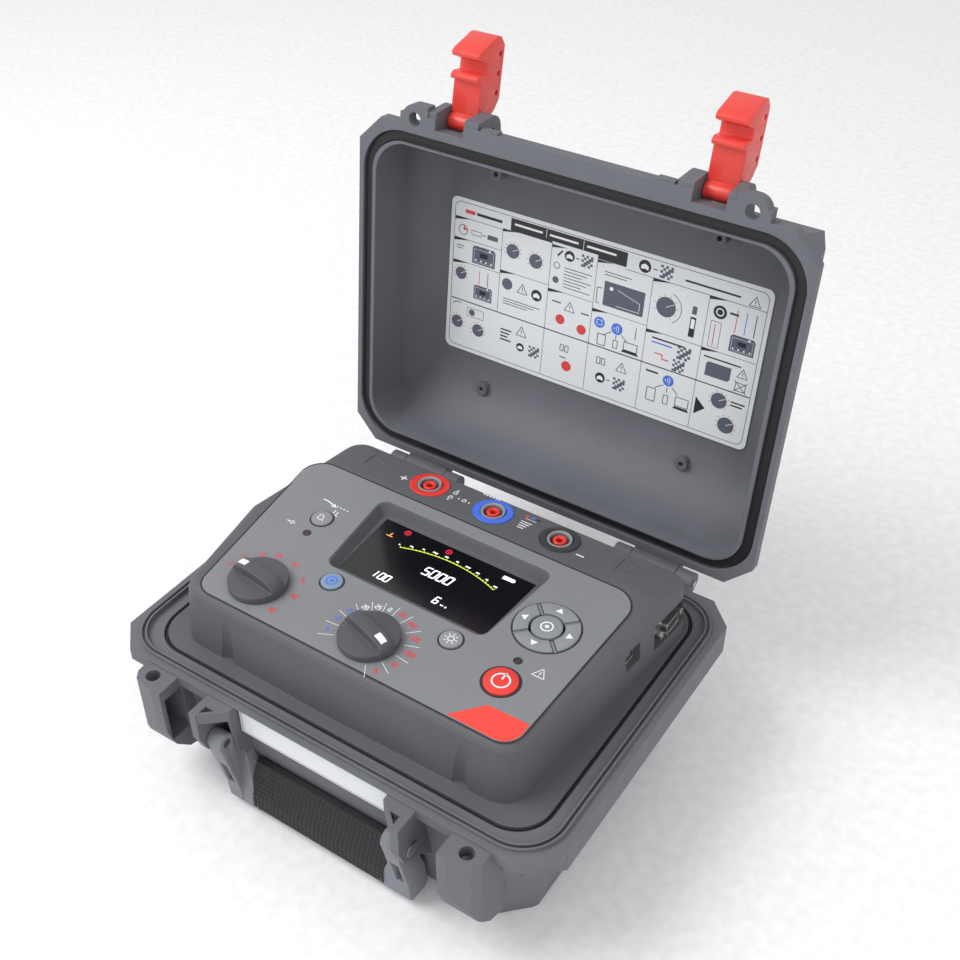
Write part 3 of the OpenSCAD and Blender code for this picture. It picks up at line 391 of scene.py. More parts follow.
def refined(node, body, width, mat, segments=2, angle=32):
    """A copy of a node with its edges rounded in the mesh."""
    src = NODES[node]
    bm = bmesh.new()
    bm.from_mesh(src.data)
    bmesh.ops.remove_doubles(bm, verts=bm.verts, dist=1e-6)
    bmesh.ops.dissolve_limit(bm, angle_limit=math.radians(1.5), verts=bm.verts, edges=bm.edges)
    me = bpy.data.meshes.new(node + "_fine")
    bm.to_mesh(me)
    bm.free()
    me.materials.clear()
    me.materials.append(mat)
    me.polygons.foreach_set("material_index", [0] * len(me.polygons))
    ob = bpy.data.objects.new(node + "_fine", me)
    bv = ob.modifiers.new("round", "BEVEL")
    bv.width = width * MM
    bv.segments = segments
    bv.limit_method = "ANGLE"
    bv.angle_limit = math.radians(angle)
    bv.use_clamp_overlap = True
    bv.harden_normals = False
    me.polygons.foreach_set("use_smooth", [True] * len(me.polygons))
    ob.modifiers.new("edges", "EDGE_SPLIT").split_angle = math.radians(38)
    place(ob, body)
    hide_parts(node)
    return ob


# ---------- refined copies of moulded parts ----------

refined("left_latch", "left_latch", 0.9, M_LATCH, 3)
refined("right_latch", "right_latch", 0.9, M_LATCH, 3)
refined("handle_frame", "handle", 0.8, M_HANDLE)
refined("function_knob", "function_knob", 0.5, M_KNOB, 3, 34)
refined("range_knob", "range_knob", 0.5, M_KNOB, 3, 34)
ROUND_KEYS = ("lock_button", "blue_button", "backlight_button", "test_button")
for key in ROUND_KEYS + ("nav_up", "nav_down", "nav_left", "nav_right", "ok_button"):
    refined(key, key, 0.55, LOOK[key], 3)

# ---------- faceplate print ----------

FACE = corner("faceplate")[1].z
kx0, ky0 = ((corner("function_knob")[0] + corner("function_knob")[1]) / 2).xy
kx1, ky1 = ((corner("range_knob")[0] + corner("range_knob")[1]) / 2).xy
face_discs = [[-99.5, -71.5, 12.5], [103.5, -71.5, 12.5], [102, 38, 17], [-114.5, 41, 14]]
outline = Print("faceplate_edge_line", M_INK_BLACK, "black_plastic", z=FACE - 0.32, t=0.3)
out_line = disc_hull(face_discs, 0.75, 4)
for a, b in zip(out_line, out_line[1:] + out_line[:1]):
    outline.bar(a[0], a[1], b[0], b[1], 0.7)
outline.done()

white = Print("panel_marks_white", M_INK_WHITE, "pointer_white", z=FACE - 0.02, t=0.06)
red = Print("panel_marks_red", M_INK_RED, "red_plastic", z=FACE - 0.02, t=0.06)
blue = Print("panel_marks_blue", M_INK_BLUE, "blue_plastic", z=FACE - 0.02, t=0.06)


def on_dial(cx, cy, r, deg):
    return cx + r * math.cos(math.radians(deg)), cy + r * math.sin(math.radians(deg))


left_marks = [(-160, "1"), (172, "2"), (151, "5"), (127, "10"), (102, "25"), (72, "50"), (38, "75"),
              (6, "80"), (-31, "90")]
for deg, text in left_marks:
    x, y = on_dial(kx0 - 0.6, ky0 + 0.3, 26.2, deg)
    red.digits(text, x, y, 3.0, w=1.7, stroke=0.62)
right_marks = [(-164, "5", blue), (173, "10", blue), (153, "15", blue), (132, "20", white),
               (115, "25", white), (99, "0", white), (81, "100", red), (57, "250", red), (32, "500", red),
               (6, "1000", red), (-19, "50", red), (-45, "75", red)]
for deg, text, pen in right_marks:
    x, y = on_dial(kx1 - 0.6, ky1 + 0.6, 26.0 + 0.7 * (len(text) > 2), deg)
    pen.digits(text, x, y, 2.9, w=1.5, stroke=0.6)
order = [m[0] for m in right_marks]
order[0] = 196
breaks = [206] + [(a + b) / 2 for a, b in zip(order, order[1:])] + [-58]
for deg in breaks:
    x0, y0 = on_dial(kx1 - 0.6, ky1 + 0.6, 20.9, deg)
    x1, y1 = on_dial(kx1 - 0.6, ky1 + 0.6, 30.3, deg)
    white.bar(x0, y0, x1, y1, 0.34)

# plain warning triangle
warn_x, warn_y, warn_r = 100.7, -30.5, 4.6
pts = [on_dial(warn_x, warn_y, warn_r, a) for a in (90, 210, 330)]
white.path(pts + [pts[0]], 0.5)
white.bar(warn_x, warn_y + 1.9, warn_x, warn_y - 0.6, 0.55)
white.disc(warn_x, warn_y - 1.6, 0.34, 12)
# arrow sweep and bars by the lock button
white.arc(-96, 8.2, 15.5, 0.9, 98, 62, 10)
white.poly([(-88.9, 23.9), (-85.6, 21.2), (-89.8, 20.5)])
for x in (-86, -83.4, -80.8, -78.2):
    white.bar(x, 22.4, x + 1.3, 22.4, 0.8)
white.path([(-84, 19), (-84, 15.6)], 0.7)
white.path([(-81.6, 18.4), (-81.6, 14.6), (-79.6, 14.6)], 0.7)
white.disc(-100.2, -5.6, 1.5, 18)
white.bar(-104.4, -5.6, -98, -5.6, 0.8)
white.done()
red.done()
blue.done()

patch = Print("red_accent_patch", M_PATCH, "red_plastic", z=FACE - 0.01, t=0.05)
patch.poly([(73.5, -83.2), (88.9, -65.4), (115.4, -64.6), (115.6, -73.5), (113.2, -79.2), (109.2, -82.6),
            (104, -83.7)])
patch.done()

# painted shade: a soft dark ring in the gap round each button
gap_shade = Print("button_gap_shade_rings", M_INK_BLACK, "black_plastic", z=FACE - 1.4, t=0.9)
for key in ROUND_KEYS:
    lo, hi = corner(key)
    c = (lo + hi) / 2
    r = (hi.x - lo.x) / 2 - 1.3
    gap_shade.ring(c.x, c.y, r + 0.15, 0.26, 48)
gap_shade.done()
rims = Print("button_rim_lines", M_INK_BLACK, "black_plastic", z=FACE - 0.02, t=0.07)
for key in ROUND_KEYS:
    lo, hi = corner(key)
    c = (lo + hi) / 2
    r = (hi.x - lo.x) / 2 - 1.3
    width = 1.4 if key == "test_button" else 0.8
    rims.ring(c.x, c.y, r + 0.35 + width / 2, width, 56)
nav_c = (corner("ok_button")[0] + corner("ok_button")[1]) / 2
nav_r = corner("nav_right")[1].x - nav_c.x - 1.3
rims.ring(nav_c.x, nav_c.y, nav_r + 0.75, 0.8, 80)
rims.done()
spokes = Print("nav_spokes", M_FACE, "faceplate_film", z=FACE - 1.6, t=1.6)
for deg in (45, 135, 225, 315):
    x0, y0 = on_dial(nav_c.x, nav_c.y, 11.0, deg)
    x1, y1 = on_dial(nav_c.x, nav_c.y, nav_r + 0.6, deg)
    spokes.bar(x0, y0, x1, y1, 1.7)
spokes.done()

# symbols on the keys, each riding on its key
KEY = corner("ok_button")[1].z - 0.01
for key, deg in (("nav_up", 90), ("nav_down", 270), ("nav_left", 180), ("nav_right", 0)):
    pen = Print(key + "_arrow", M_INK_WHITE, "pointer_white", body=key, z=KEY, t=0.05)
    c = Vector((nav_c.x, nav_c.y))
    d = Vector((math.cos(math.radians(deg)), math.sin(math.radians(deg))))
    o = Vector((-d.y, d.x))
    tip, base = c + d * 17.6, c + d * 13.8
    pen.poly([tuple(tip), tuple(base + o * 2.5), tuple(base - o * 2.5)])
    pen.done()
pen = Print("ok_button_mark", M_INK_WHITE, "pointer_white", body="ok_button", z=KEY, t=0.05)
pen.ring(nav_c.x, nav_c.y, 3.6, 0.9, 32)
pen.disc(nav_c.x, nav_c.y, 1.3, 20)
pen.done()
bc = (corner("blue_button")[0] + corner("blue_button")[1]) / 2
pen = Print("blue_button_mark", M_INK_BLUE, "blue_plastic", body="blue_button", z=KEY, t=0.05)
pen.ring(bc.x, bc.y, 3.4, 1.1, 32)
pen.disc(bc.x, bc.y, 1.5, 20)
pen.done()
lc = (corner("backlight_button")[0] + corner("backlight_button")[1]) / 2
pen = Print("backlight_button_mark", M_INK_WHITE, "pointer_white", body="backlight_button", z=KEY, t=0.05)
pen.ring(lc.x, lc.y, 1.9, 0.6, 24)
for i in range(8):
    x0, y0 = on_dial(lc.x, lc.y, 2.9, i * 45)
    x1, y1 = on_dial(lc.x, lc.y, 4.3, i * 45)
    pen.bar(x0, y0, x1, y1, 0.6)
pen.done()
kc = (corner("lock_button")[0] + corner("lock_button")[1]) / 2
pen = Print("lock_button_mark", M_INK_WHITE, "pointer_white", body="lock_button", z=KEY, t=0.05)
pen.path([(kc.x - 2.4, kc.y + 2.4), (kc.x - 2.4, kc.y - 2.2), (kc.x + 2.6, kc.y - 2.2)], 0.5)
pen.path([(kc.x - 2.4, kc.y + 2.4), (kc.x + 0.4, kc.y + 2.0), (kc.x + 1.6, kc.y - 2.2)], 0.5)
pen.done()
tc = (corner("test_button")[0] + corner("test_button")[1]) / 2
pen = Print("test_button_mark", M_INK_WHITE, "pointer_white", body="test_button", z=KEY, t=0.05)
pen.ring(tc.x, tc.y, 5.2, 1.0, 40)
pen.bar(tc.x, tc.y + 1.2, tc.x, tc.y + 6.4, 1.1)
pen.done()

# ---------- display ----------

GL = corner("display_window")[1].z - 0.01
pen = Print("display_digits", M_LIT_WHITE, "pointer_white", z=GL, t=0.03)
pen.digits("5000", 2.0, 10.6, 7.0, w=3.7, lean=0.16, stroke=0.95)
pen.digits("100", -27.0, -8.6, 5.6, w=2.9, lean=0.16, stroke=0.85)
pen.digits("6", 13.6, -7.4, 5.6, w=2.9, lean=0.16, stroke=0.85)
pen.bar(17.6, -9.4, 19.6, -9.4, 0.9)
pen.bar(21.0, -9.6, 22.2, -9.6, 1.2)
pen.poly([(10.6, 14.6), (12.2, 14.6), (11.4, 13.0)])
pen.box(36.0, 30.8, 44.0, 33.8)
pen.box(44.0, 31.6, 44.8, 33.0)
SCALE_C, SCALE_R = (1.7, -76.2), 101.8
ARC_FROM, ARC_TO = 110.2, 69.6
for i, w in enumerate((1.0, 2.2, 1.6, 3.6, 2.6, 1.8, 3.6, 2.6, 1.8, 2.8)):
    a = math.radians(ARC_FROM + 0.6 - i * 4.5)
    x, y = SCALE_C[0] + (SCALE_R + 2.6) * math.cos(a), SCALE_C[1] + (SCALE_R + 2.6) * math.sin(a)
    pen.bar(x - w / 2, y, x + w / 2, y, 1.0)
pen.done()
pen = Print("display_scale", M_LIT_LIME, "pointer_white", z=GL, t=0.03)
pen.arc(SCALE_C[0], SCALE_C[1], SCALE_R, 0.5, ARC_FROM, ARC_TO, 48)
for i in range(28):
    a = math.radians(ARC_FROM - i * (ARC_FROM - ARC_TO) / 27)
    r1 = SCALE_R + (1.5 if i % 3 == 0 else 0.9)
    pen.bar(SCALE_C[0] + SCALE_R * math.cos(a), SCALE_C[1] + SCALE_R * math.sin(a),
            SCALE_C[0] + r1 * math.cos(a), SCALE_C[1] + r1 * math.sin(a), 0.4)
pen.done()
pen = Print("display_red_icons", M_LIT_RED, "red_plastic", z=GL, t=0.03)
for x, y in ((-37.3, 33.2), (-4.9, 32.7)):
    pen.ring(x, y, 1.9, 0.6, 28)
    pen.bar(x, y - 0.9, x, y + 0.9, 0.5)
    pen.bar(x - 0.8, y, x + 0.8, y, 0.5)
pen.done()
pen = Print("display_amber_icon", M_LIT_AMBER, "red_plastic", z=GL, t=0.03)
pen.path([(-48.2, 24.6), (-43.4, 24.6)], 0.7)
pen.path([(-45.8, 24.6), (-45.4, 28.0)], 0.8)
pen.done()

# ---------- terminals ----------

slots = {"positive_ring": ("red_plastic", M_RED), "guard_ring": ("blue_plastic", M_BLUE),
         "negative_ring": ("black_plastic", M_BLACK)}
PANEL = FACE - 0.4
SLOPE = math.radians(-7)
SLOPE_START = 60
socket_pitch = 50.3
SOCKET_Y, SOCKET_DROP = 76, 2.4
for i, key in enumerate(("positive_ring", "guard_ring", "negative_ring")):
    x = (i - 1) * socket_pitch
    up = Matrix.Translation((x, SOCKET_Y, PANEL - SOCKET_DROP))
    m = up @ Matrix.Rotation(SLOPE, 4, "X")
    slot, mat = slots[key]
    ring = [(13.5, 0.2), (13.5, 0.95), (13.2, 1.2), (12.6, 1.28), (9.9, 1.28), (9.3, 1.16), (8.7, 0.9),
            (8.55, 0.2)]
    ob = lathe(key + "_fine", ring, mat, "case", m, 96)
    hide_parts(key)
    lip = [(8.15, 0.6), (8.15, 1.5), (7.9, 1.8), (7.3, 1.9), (6.75, 1.7), (6.45, 1.2), (6.45, 0.6)]
    lathe("socket_lip_%d" % i, lip, M_SOCKET, "case", up, 72)
    lip = [(4.45, -0.2), (4.45, 0.6), (4.2, 0.95), (3.6, 1.15), (2.9, 1.05), (2.3, 0.7), (2.12, -0.2)]
    lathe("core_lip_%d" % i, lip, M_RED, "case", up, 56)


SM = (Matrix.Translation((0, SLOPE_START, PANEL)) @ Matrix.Rotation(SLOPE, 4, "X")
      @ Matrix.Translation((0, -SLOPE_START, 0)))
pen = Print("terminal_marks_white", M_INK_WHITE, "pointer_white", z=-0.02, t=0.07, turn=SM)
pen.bar(-71.5, 72.5, -66.3, 72.5, 1.1)
pen.bar(-68.9, 69.9, -68.9, 75.1, 1.1)
pen.bar(66.0, 69.6, 71.6, 69.6, 1.1)
for x, y in ((-31.5, 79), (-31.5, 73), (-22, 75)):
    pen.frame(x - 1.3, y - 1.1, x + 1.3, y + 1.1, 0.5)
    pen.arc(x, y + 1.1, 0.9, 0.4, 0, 180, 8)
pen.poly([(-31.5, 83.4), (-30.5, 81.8), (-32.5, 81.8)])
pen.poly([(-31.5, 69.0), (-30.5, 70.4), (-32.5, 70.4)])
pen.poly([(-27.0, 75), (-25.6, 75.9), (-25.6, 74.1)])
pen.poly([(-17.2, 75), (-18.6, 75.9), (-18.6, 74.1)])
for k in range(4):
    pen.bar(19.5 + 0.4 * k, 79.5 - 2.4 * k, 27.6 - 0.8 * k, 79.5 - 2.4 * k, 0.8)
pen.bar(20.5, 83.4, 28.5, 83.4, 0.35)
for k in range(6):
    pen.bar(-16.5 + 2.3 * k, 90.4, -15.2 + 2.3 * k, 90.4, 1.3)
pen.done()
pen = Print("terminal_dot_red", M_INK_RED, "red_plastic", z=-0.02, t=0.07, turn=SM)
pen.disc(20.2, 86.2, 1.35, 20)
pen.done()
pen = Print("terminal_dot_blue", M_INK_BLUE, "blue_plastic", z=-0.02, t=0.07, turn=SM)
pen.disc(24.4, 86.6, 1.35, 20)
pen.done()
pen = Print("terminal_dot_black", M_INK_BLACK, "black_plastic", z=-0.02, t=0.07, turn=SM)
pen.disc(28.6, 86.2, 1.35, 20)
pen.done()

# dark strip in the channel between the panel flange and the case

def rounded_box(hx, hy, r, cy, z, n=10):
    pts = []
    for sx, sy, a0 in ((1, 1, 0), (-1, 1, 90), (-1, -1, 180), (1, -1, 270)):
        for i in range(n + 1):
            a = math.radians(a0 + 90 * i / n)
            pts.append((sx * (hx - r) + r * math.cos(a), cy + sy * (hy - r) + r * math.sin(a), z))
    return pts


RIDGE_Z, LEDGE_DROP, FLANGE_T = 98, 3.2, 3
FLANGE_X, FLANGE_Y, FLANGE_R, FLANGE_MID = 138.75, 103.15, 22.1, 2.7
seat = RIDGE_Z - LEDGE_DROP - FLANGE_T
# each step of the strip's section: how far out, how much rounder, how high
strip_steps = [(0, 0, 0.1), (0, 0, 0.7), (0.65, 0.7, 1.1), (1.65, 1.7, 1.1), (2.3, 2.4, 0.7), (2.3, 2.4, 0.1)]
loops = [rounded_box(FLANGE_X + d, FLANGE_Y + d, FLANGE_R + r, FLANGE_MID, seat + h) for d, r, h in strip_steps]
loop_band("flange_channel_strip", loops, M_RUBBER, "case", closed_ends=True)

# ribs on the gasket
hinge = [j for j in frame["record"]["behaviour"]["joints"] if j["name"] == "lid_hinge"][0]
hy, hz = hinge["pos_m"][1] * 1000, hinge["pos_m"][2] * 1000
LID = (Matrix.Translation((0, hy, hz)) @ Matrix.Rotation(math.radians(hinge["range_deg"][0]), 4, "X")
       @ Matrix.Translation((0, -hy, -hz)))
CZ = 95.8
RIDGE_X, RIDGE_Y, RIDGE_R = 150.9, 111.8, 27.2
for k, off in enumerate((-2.75, 2.75)):
    prof = [(-0.4, 2.45), (-0.35, 2.05), (0.0, 1.75), (0.35, 2.05), (0.4, 2.45)]
    loops = []
    for dx, w in prof:
        d = off + dx
        loop = rounded_box(RIDGE_X + d, RIDGE_Y + d, RIDGE_R + d, 0, CZ + w + 0.1)
        loops.append([LID @ Vector(p) for p in loop])
    loop_band("gasket_rib_%d" % k, loops, M_RUBBER, "lid", closed_ends=True)

# ---------- guide label in the lid ----------

LABEL_DEPTH = 54.7
# label space: x to the right, y up on the open lid, printed on the face that looks into the case
LABEL = LID @ Matrix.Translation((0, -1.5, CZ + LABEL_DEPTH)) @ Matrix.Rotation(math.pi, 4, "X")


def label_pen(name, mat, slot):
    return Print(name, mat, slot, body="lid", z=-0.02, t=0.08, turn=LABEL)


ink = label_pen("guide_black", M_INK_BLACK, "black_plastic")
grey = label_pen("guide_grey", M_INK_GREY, "cover_plastic")
lred = label_pen("guide_red", M_INK_RED, "red_plastic")
lblue = label_pen("guide_blue", M_INK_BLUE, "blue_plastic")
lwhite = Print("guide_white", M_INK_WHITE, "label_film", body="lid", z=0.05, t=0.05, turn=LABEL)
edge = disc_hull([[-111.5, -49.5, 5], [111.5, -49.5, 5], [111.5, 49.5, 5], [-111.5, 49.5, 5]], 0, 10)
for a, b in zip(edge, edge[1:] + edge[:1]):
    ink.bar(a[0], a[1], b[0], b[1], 0.35)


def triangle(x, y, s):
    pts = [(x, y + s), (x - 0.9 * s, y - 0.6 * s), (x + 0.9 * s, y - 0.6 * s)]
    ink.path(pts + [pts[0]], 0.45)
    ink.bar(x, y + 0.45 * s, x, y - 0.1 * s, 0.5)
    ink.disc(x, y - 0.35 * s, 0.3, 10)


def dial(x, y, r, first, last):
    grey.disc(x, y, r, 36)
    lwhite.bar(x, y, *on_dial(x, y, r * 0.9, 30), 0.4)
    for i in range(9):
        deg = first - (first - last) * i / 8
        a, b = on_dial(x, y, r + 0.8, deg), on_dial(x, y, r + 1.7, deg)
        (lblue if i < 2 else lred).bar(a[0], a[1], b[0], b[1], 0.55)


def unit(x, y, s):
    body = [(-9, -6), (9, -6), (9, 5), (7.5, 6.5), (-7.5, 6.5), (-9, 5)]
    grey.poly([(x + dx * s, y + dy * s) for dx, dy in body])
    lwhite.frame(x - 7.6 * s, y - 4.8 * s, x + 7.6 * s, y + 4.4 * s, 0.2)
    for dx in (-6, -2, 2, 6):
        lwhite.disc(x + dx * s, y - 3.4 * s, 0.7 * s, 10)
    for dx, pen_ in ((-4.5, lred), (0, lblue), (4.5, lwhite)):
        pen_.disc(x + dx * s, y + 5.2 * s, 0.8 * s, 12)


def screen(x, y, s):
    ink.box(x - 3 * s, y - 1.6 * s, x + 3 * s, y + 1.6 * s)


def lines(x, y, w, n, gap_=1.9, pen_=None, t=0.5):
    for i in range(n):
        (pen_ or ink).bar(x, y - i * gap_, x + w * (1 - 0.17 * (i % 3)), y - i * gap_, t)


def tile(x, y, s):
    # plain grey checker
    for i in range(5):
        for j in range(5):
            if (i * 2 + j * 3) % 5 < 3:
                grey.box(x + i * s / 5, y + j * s / 5, x + (i + 1) * s / 5, y + (j + 1) * s / 5)


def waves(x, y):
    lwhite.disc(x - 2, y, 0.5, 12)
    for r in (1.9, 3.4):
        lwhite.arc(x - 2, y, r, 0.45, -48, 48, 8)


def wedge(x, y):
    ink.poly([(x, y), (x + 12, y), (x, y - 2.2)])


def book(x, y, r):
    ink.disc(x, y, r, 28)
    for page in (-0.6, 0.6):
        corners = [(page, 0.1), (0, 0.45), (0, -0.35), (page, -0.5)]
        lwhite.poly([(x + dx * r, y + dy * r) for dx, dy in corners])


# header: a dark strip with plain bars
ink.poly([(-71, 53.5), (18, 53.5), (18, 43.5), (-3, 43.5), (-3, 46), (-38, 46), (-38, 44.5), (-71, 44.5)])
for x in (-68, -40.5, -12):
    lwhite.bar(x, 49.6, x + 22, 49.6, 1.5)
lwhite.bar(-43, 47, -43, 53, 0.35)
lwhite.bar(-14.5, 46.6, -14.5, 53, 0.35)
lred.bar(-108, 48.5, -100, 48.5, 2.6)
ink.bar(-98.6, 48.5, -78, 48.5, 2.0)
book(31, 48, 4.4)
ink.bar(37, 48, 40, 48, 0.7)
tile(42, 43.6, 9)
ink.bar(60, 47, 98, 47, 1.3)
triangle(108, 46, 4.2)
ink.bar(-116, 43.4, -71, 43.4, 0.35)
ink.bar(18, 42.2, 116, 42.2, 0.35)
# grid
for x, y0, y1 in ((-77, -18, 43.4), (-38, -18, 45), (-3, -54, 45), (38, -54, 42.2), (78, -54, 42.2),
                  (-38, -54, -18)):
    ink.bar(x, y0, x, y1, 0.3)
ink.bar(-116, -18.4, 116, -18.4, 0.75)
for x0, x1, y in ((-116, -77, 28), (-116, -77, 11), (-77, -38, 14), (-38, -3, 12), (-3, 38, 8),
                  (38, 78, 6), (78, 116, 6)):
    ink.bar(x0, y, x1, y, 0.3)
for x, y in ((-116, 43.2), (-116, 27.8), (-116, 10.8), (-77, 44.4), (-77, 13.8), (-38, 44), (-38, 11.8),
             (-3, 43.2), (-3, 7.8), (38, 42), (38, 5.8), (78, 42), (78, 5.8)):
    wedge(x, y)
# first column
ink.ring(-109, 34.6, 3.6, 0.45, 28)
lred.poly([(-109, 34.6), (-109, 38.2), (-105.4, 34.6)])
ink.frame(-102, 33, -94, 36, 0.4)
ink.bar(-93, 34.5, -90.6, 34.5, 0.6)
grey.box(-89, 32.8, -80.6, 36.2)
unit(-91, 18.8, 1.05)
screen(-91, 19.6, 1.05)
lines(-113.6, 22.6, 6, 2)
dial(-109, 2, 4.6, 210, -20)
unit(-90, -8.8, 0.85)
screen(-90, -8.2, 0.85)
lred.bar(-93.5, 8, -93.5, -2.6, 0.5)
ink.bar(-86.5, 8, -86.5, -2.6, 0.5)
dial(-110, -36, 4.8, 210, -20)
dial(-92, -38, 4.8, 210, -20)
ink.arc(-110, -25.5, 5, 0.6, 150, 60, 8)
ink.frame(-102, -29, -88, -22.4, 0.3)
grey.disc(-98, -25.7, 2.5, 20)
# second column
dial(-68, 30, 5.2, 200, -30)
dial(-49.5, 28, 5.2, 210, -40)
grey.disc(-70.5, 5, 4.2, 28)
triangle(-58, 4, 4.4)
book(-46.5, 3.5, 4.2)
lines(-73, -6, 30, 3)
triangle(-56, -28, 4.6)
lines(-73, -30, 9, 4, 2.6, t=1.1)
book(-56, -39.5, 3.2)
tile(-49, -44, 8.6)
# third column
ink.path([(-33, 37), (-29.5, 41.5)], 1.2)
book(-24, 39, 3.8)
ink.bar(-19, 39, -16.6, 39, 0.7)
tile(-15, 34.6, 8.6)
lines(-27, 30, 21, 7, 2.3)
grey.ring(-33, 30, 2.2, 0.5, 20)
grey.disc(-33, 19.6, 2.4, 20)
triangle(-20, 2.4, 4.4)
lred.disc(-26.5, -8, 3.6, 28)
lred.disc(-9.5, -10.5, 3.6, 28)
lines(-34, 4, 7, 1, t=0.9)
lines(-11, 1.5, 6, 1, t=0.9)
ink.digits("00", -21, -28.5, 4.6, w=2.6, stroke=0.5)
lred.disc(-18, -41.5, 3.8, 28)
lines(-24, -35.6, 5, 1, t=0.7)
# fourth column
lines(3, 36.4, 20, 2, 2.0)
grey.box(4, 12.6, 34, 30)
lwhite.disc(9.4, 25.6, 1.4, 16)
lwhite.path([(14, 26), (31, 21), (31, 14.5), (14, 14.5)], 0.35)
ink.path([(1.4, 13), (-1, 13), (-1, 24), (2.6, 24)], 0.5)
lblue.disc(3.6, -0.6, 4, 28)
lblue.disc(17, -1.4, 4.2, 28)
lwhite.frame(1.6, -2.2, 5.6, 1.2, 0.4)
waves(17, -1.4)
ink.path([(13.4, -4.4), (8, -8.4)], 0.5)
ink.path([(17, -6), (17, -9)], 0.5)
ink.path([(20.6, -4.6), (25, -8.4)], 0.5)
ink.frame(3.4, -16.6, 9.4, -8.6, 0.5)
ink.frame(15.4, -15.6, 18.6, -10, 0.5)
ink.frame(23.4, -14.4, 33.4, -8.6, 0.5)
ink.poly([(22, -16.4), (35, -16.4), (33.6, -14.6), (23.2, -14.6)])
ink.path([(31, 3.6), (31, -5)], 0.5)
ink.digits("00", 8, -28.5, 4.8, w=2.6, stroke=0.5)
triangle(24, -29, 4.4)
book(9, -41, 3.8)
ink.bar(14, -41, 16.4, -41, 0.7)
tile(19, -46, 9)
# fifth column
dial(49.5, 25, 7, 200, -60)
ink.arc(49.5, 25, 11, 0.4, 70, -60, 14)
ink.box(67.4, 10, 71.4, 24)
lwhite.box(68.1, 16, 70.7, 22.6)
grey.box(67.8, 26, 71, 31.6)
ink.bar(43, 1.4, 66, 1.4, 1.1)
lblue.bar(43, -1.6, 58, -1.6, 1.0)
tile(62, -8, 9.6)
lred.path([(46, -9), (52, -9), (52, -12), (57, -12)], 0.8)
tile(60, -17.6, 8.6)
ink.bar(42, -23.2, 51, -23.2, 1.3)
lblue.disc(59, -26, 4, 28)
waves(59, -26)
ink.path([(56, -30), (50, -34)], 0.5)
ink.path([(59, -31), (59, -35)], 0.5)
ink.path([(62.4, -30), (67, -34)], 0.5)
ink.frame(44.6, -44.6, 51, -35, 0.5)
ink.frame(57.2, -43.6, 60.6, -37, 0.5)
ink.frame(66, -42, 75.4, -35.4, 0.5)
ink.poly([(64.8, -44.4), (76.6, -44.4), (75.4, -42.6), (66, -42.6)])
# sixth column
ink.disc(86.4, 33, 4.6, 28)
lwhite.ring(86.4, 33, 2.4, 0.8, 20)
lines(93, 34.5, 6, 1, t=1.4)
unit(104.5, 15, 0.95)
screen(104.5, 15.8, 0.95)
lred.bar(98, 38, 98, 22.6, 0.55)
lblue.bar(104.4, 38, 104.4, 22.6, 0.55)
ink.bar(110.8, 38, 110.8, 22.6, 0.55)
lred.bar(84.6, 24, 84.6, 9, 0.55)
ink.frame(81.6, 8, 88.6, 26, 0.3)
lines(80.6, 0.6, 26, 1, t=1.0)
grey.poly([(83, -12.6), (99, -12.6), (100.6, -10.8), (100.6, -2.4), (84.4, -2.4), (83, -4)])
triangle(108.6, -4.4, 4)
ink.frame(105, -16.4, 112, -10.6, 0.45)
ink.path([(104, -17.4), (113, -9.4)], 0.45)
ink.path([(104, -9.4), (113, -17.4)], 0.45)
dial(96, -27.6, 5.6, 200, -40)
dial(103.5, -43.6, 5.8, 200, -40)
lines(104, -25.4, 10, 2, 2.4, t=1.0)
ink.poly([(80, -30), (87.4, -36.6), (80, -43)])
for pen in (ink, grey, lred, lblue, lwhite):
    pen.done()

# ---------- front label border ----------
fl = corner("front_label")
FRONT = Matrix.Translation((0, fl[0].y, 0)) @ Matrix.Rotation(math.radians(90), 4, "X")
pen = Print("front_label_border", M_INK_GREY, "cover_plastic", z=-0.04, t=0.08, turn=FRONT)
pen.frame(fl[0].x + 1.4, fl[0].z + 1.2, fl[1].x - 1.4, fl[1].z - 1.2, 0.35)
pen.done()

# ---------- grip: raised squares ----------
bm = bmesh.new()


def stud(bm, m, s, h, c=0.35):
    low, mid, top = [[bm.verts.new(m @ Vector((x * half_w, y * half_w, z)) * MM)
                      for x, y in ((-1, -1), (1, -1), (1, 1), (-1, 1))]
                     for half_w, z in ((s, -0.3), (s, h - c), (s - c, h))]
    bm.faces.new(list(reversed(low)))
    bm.faces.new(top)
    for a, b in ((low, mid), (mid, top)):
        for i in range(4):
            j = (i + 1) % 4
            bm.faces.new((a[i], a[j], b[j], b[i]))


STUD_PITCH, STUD_HALF, STUD_H = 3.1, 1.15, 0.45
GRIP_FRONT = -119.6
top_a, top_b = Vector((0, GRIP_FRONT, 18.6)), Vector((0, -109.6, 40.4))
run = top_b - top_a
side = run.normalized()
out = Vector((0, -side.z, side.y))
for j in range(8):
    c = top_a + run * ((j + 0.5) / 8)
    half = 51.2 if c.z < 31 else 42.0
    count = int(half * 2 / STUD_PITCH)
    for i in range(count):
        x = (i - (count - 1) / 2) * STUD_PITCH
        m = Matrix(((1, 0, 0, x), (0, side.y, out.y, c.y), (0, side.z, out.z, c.z), (0, 0, 0, 1)))
        stud(bm, m, STUD_HALF, STUD_H)
for j in range(3):
    for i in range(33):
        x = (i - 16) * STUD_PITCH
        m = Matrix(((1, 0, 0, x), (0, 0, -1, GRIP_FRONT), (0, 1, 0, 10.2 + j * 3.0), (0, 0, 0, 1)))
        stud(bm, m, STUD_HALF, STUD_H)
me = bpy.data.meshes.new("grip_studs")
bmesh.ops.recalc_face_normals(bm, faces=bm.faces)
bm.to_mesh(me)
bm.free()
me.materials.append(M_GRIP)
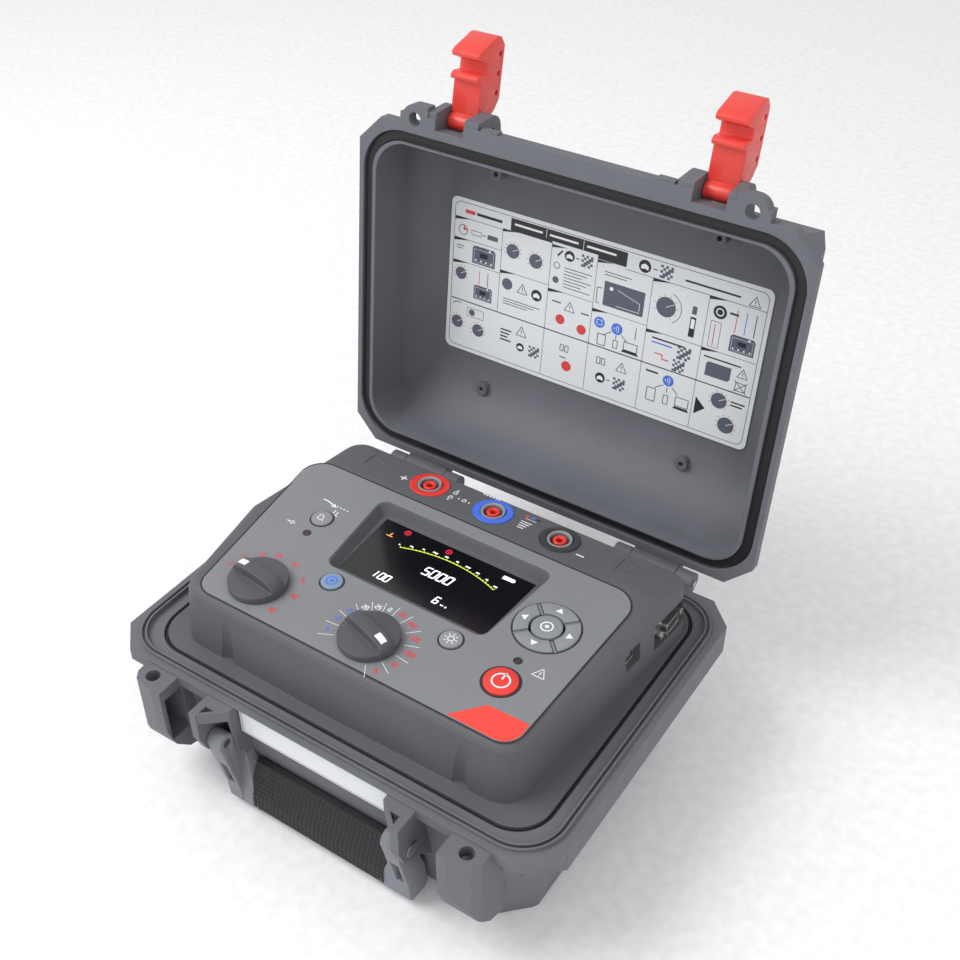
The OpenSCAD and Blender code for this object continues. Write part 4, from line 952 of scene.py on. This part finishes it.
place(bpy.data.objects.new("grip_studs", me), "handle")

# ---------- collars round the status lights ----------
for k, (x, y) in enumerate(((-85.6, -8.7), (85, -28.6))):
    m = Matrix.Translation((x, y, FACE))
    collar = [(2.75, -0.1), (2.75, 0.25), (2.5, 0.45), (2.15, 0.4), (1.95, 0.1), (1.95, -0.1)]
    lathe("led_collar_%d" % k, collar, M_BLACK, "case", m, 40)

# ---------- stage ----------
cam = bpy.data.cameras.new("photo_camera")
co = bpy.data.objects.new("photo_camera", cam)
bpy.context.scene.collection.objects.link(co)
CAMERA_AT = Vector((0.3477, -0.4620, 0.6725))
az, el, roll = [math.radians(a) for a in (33.63, 38.52, -0.09)]
back = Vector((math.sin(az) * math.cos(el), -math.cos(az) * math.cos(el), math.sin(el)))
right = Vector((math.cos(az), math.sin(az), 0))
up = back.cross(right)
turn = Matrix((right, up, back)).transposed().to_4x4() @ Matrix.Rotation(roll, 4, "Z")
co.matrix_world = Matrix.Translation(CAMERA_AT) @ turn
cam.lens = 48.26
cam.sensor_width = 36
cam.clip_start = 0.01
bpy.context.scene.camera = co

bm = bmesh.new()
rows, floor_w = 24, 8
for i in range(rows + 1):
    for j in range(rows + 1):
        bm.verts.new(((i / rows - 0.5) * floor_w, (j / rows - 0.5) * floor_w, 0))
bm.verts.ensure_lookup_table()
for i in range(rows):
    for j in range(rows):
        a = i * (rows + 1) + j
        bm.faces.new((bm.verts[a], bm.verts[a + rows + 1], bm.verts[a + rows + 2], bm.verts[a + 1]))
me = bpy.data.meshes.new("floor")
bm.to_mesh(me)
bm.free()
floor = bpy.data.objects.new("floor", me)
bpy.context.scene.collection.objects.link(floor)
paper = material("floor_paper", "f6f6f7", 0.9, grain=120, bump=0.0, blotch=0.0, wear=0.0, vary=0.0)
me.materials.append(paper)

world = bpy.data.worlds.new("studio")
bpy.context.scene.world = world
world.use_nodes = True
sky = world.node_tree.nodes["Background"]
sky.inputs["Color"].default_value = (1, 1, 1, 1)
sky.inputs["Strength"].default_value = 0.78


def lamp(name, at, target, power, size):
    data = bpy.data.lights.new(name, "AREA")
    data.energy = power
    data.size = size
    ob = bpy.data.objects.new(name, data)
    bpy.context.scene.collection.objects.link(ob)
    ob.location = at
    ob.rotation_euler = (Vector(target) - ob.location).to_track_quat("-Z", "Y").to_euler()


lamp("key", (-0.9, -0.7, 1.7), (0, 0, 0.1), 22, 1.1)
lamp("fill", (1.3, -0.9, 1.0), (0, 0, 0.15), 5, 1.2)
bpy.context.scene.view_settings.view_transform = "Standard"
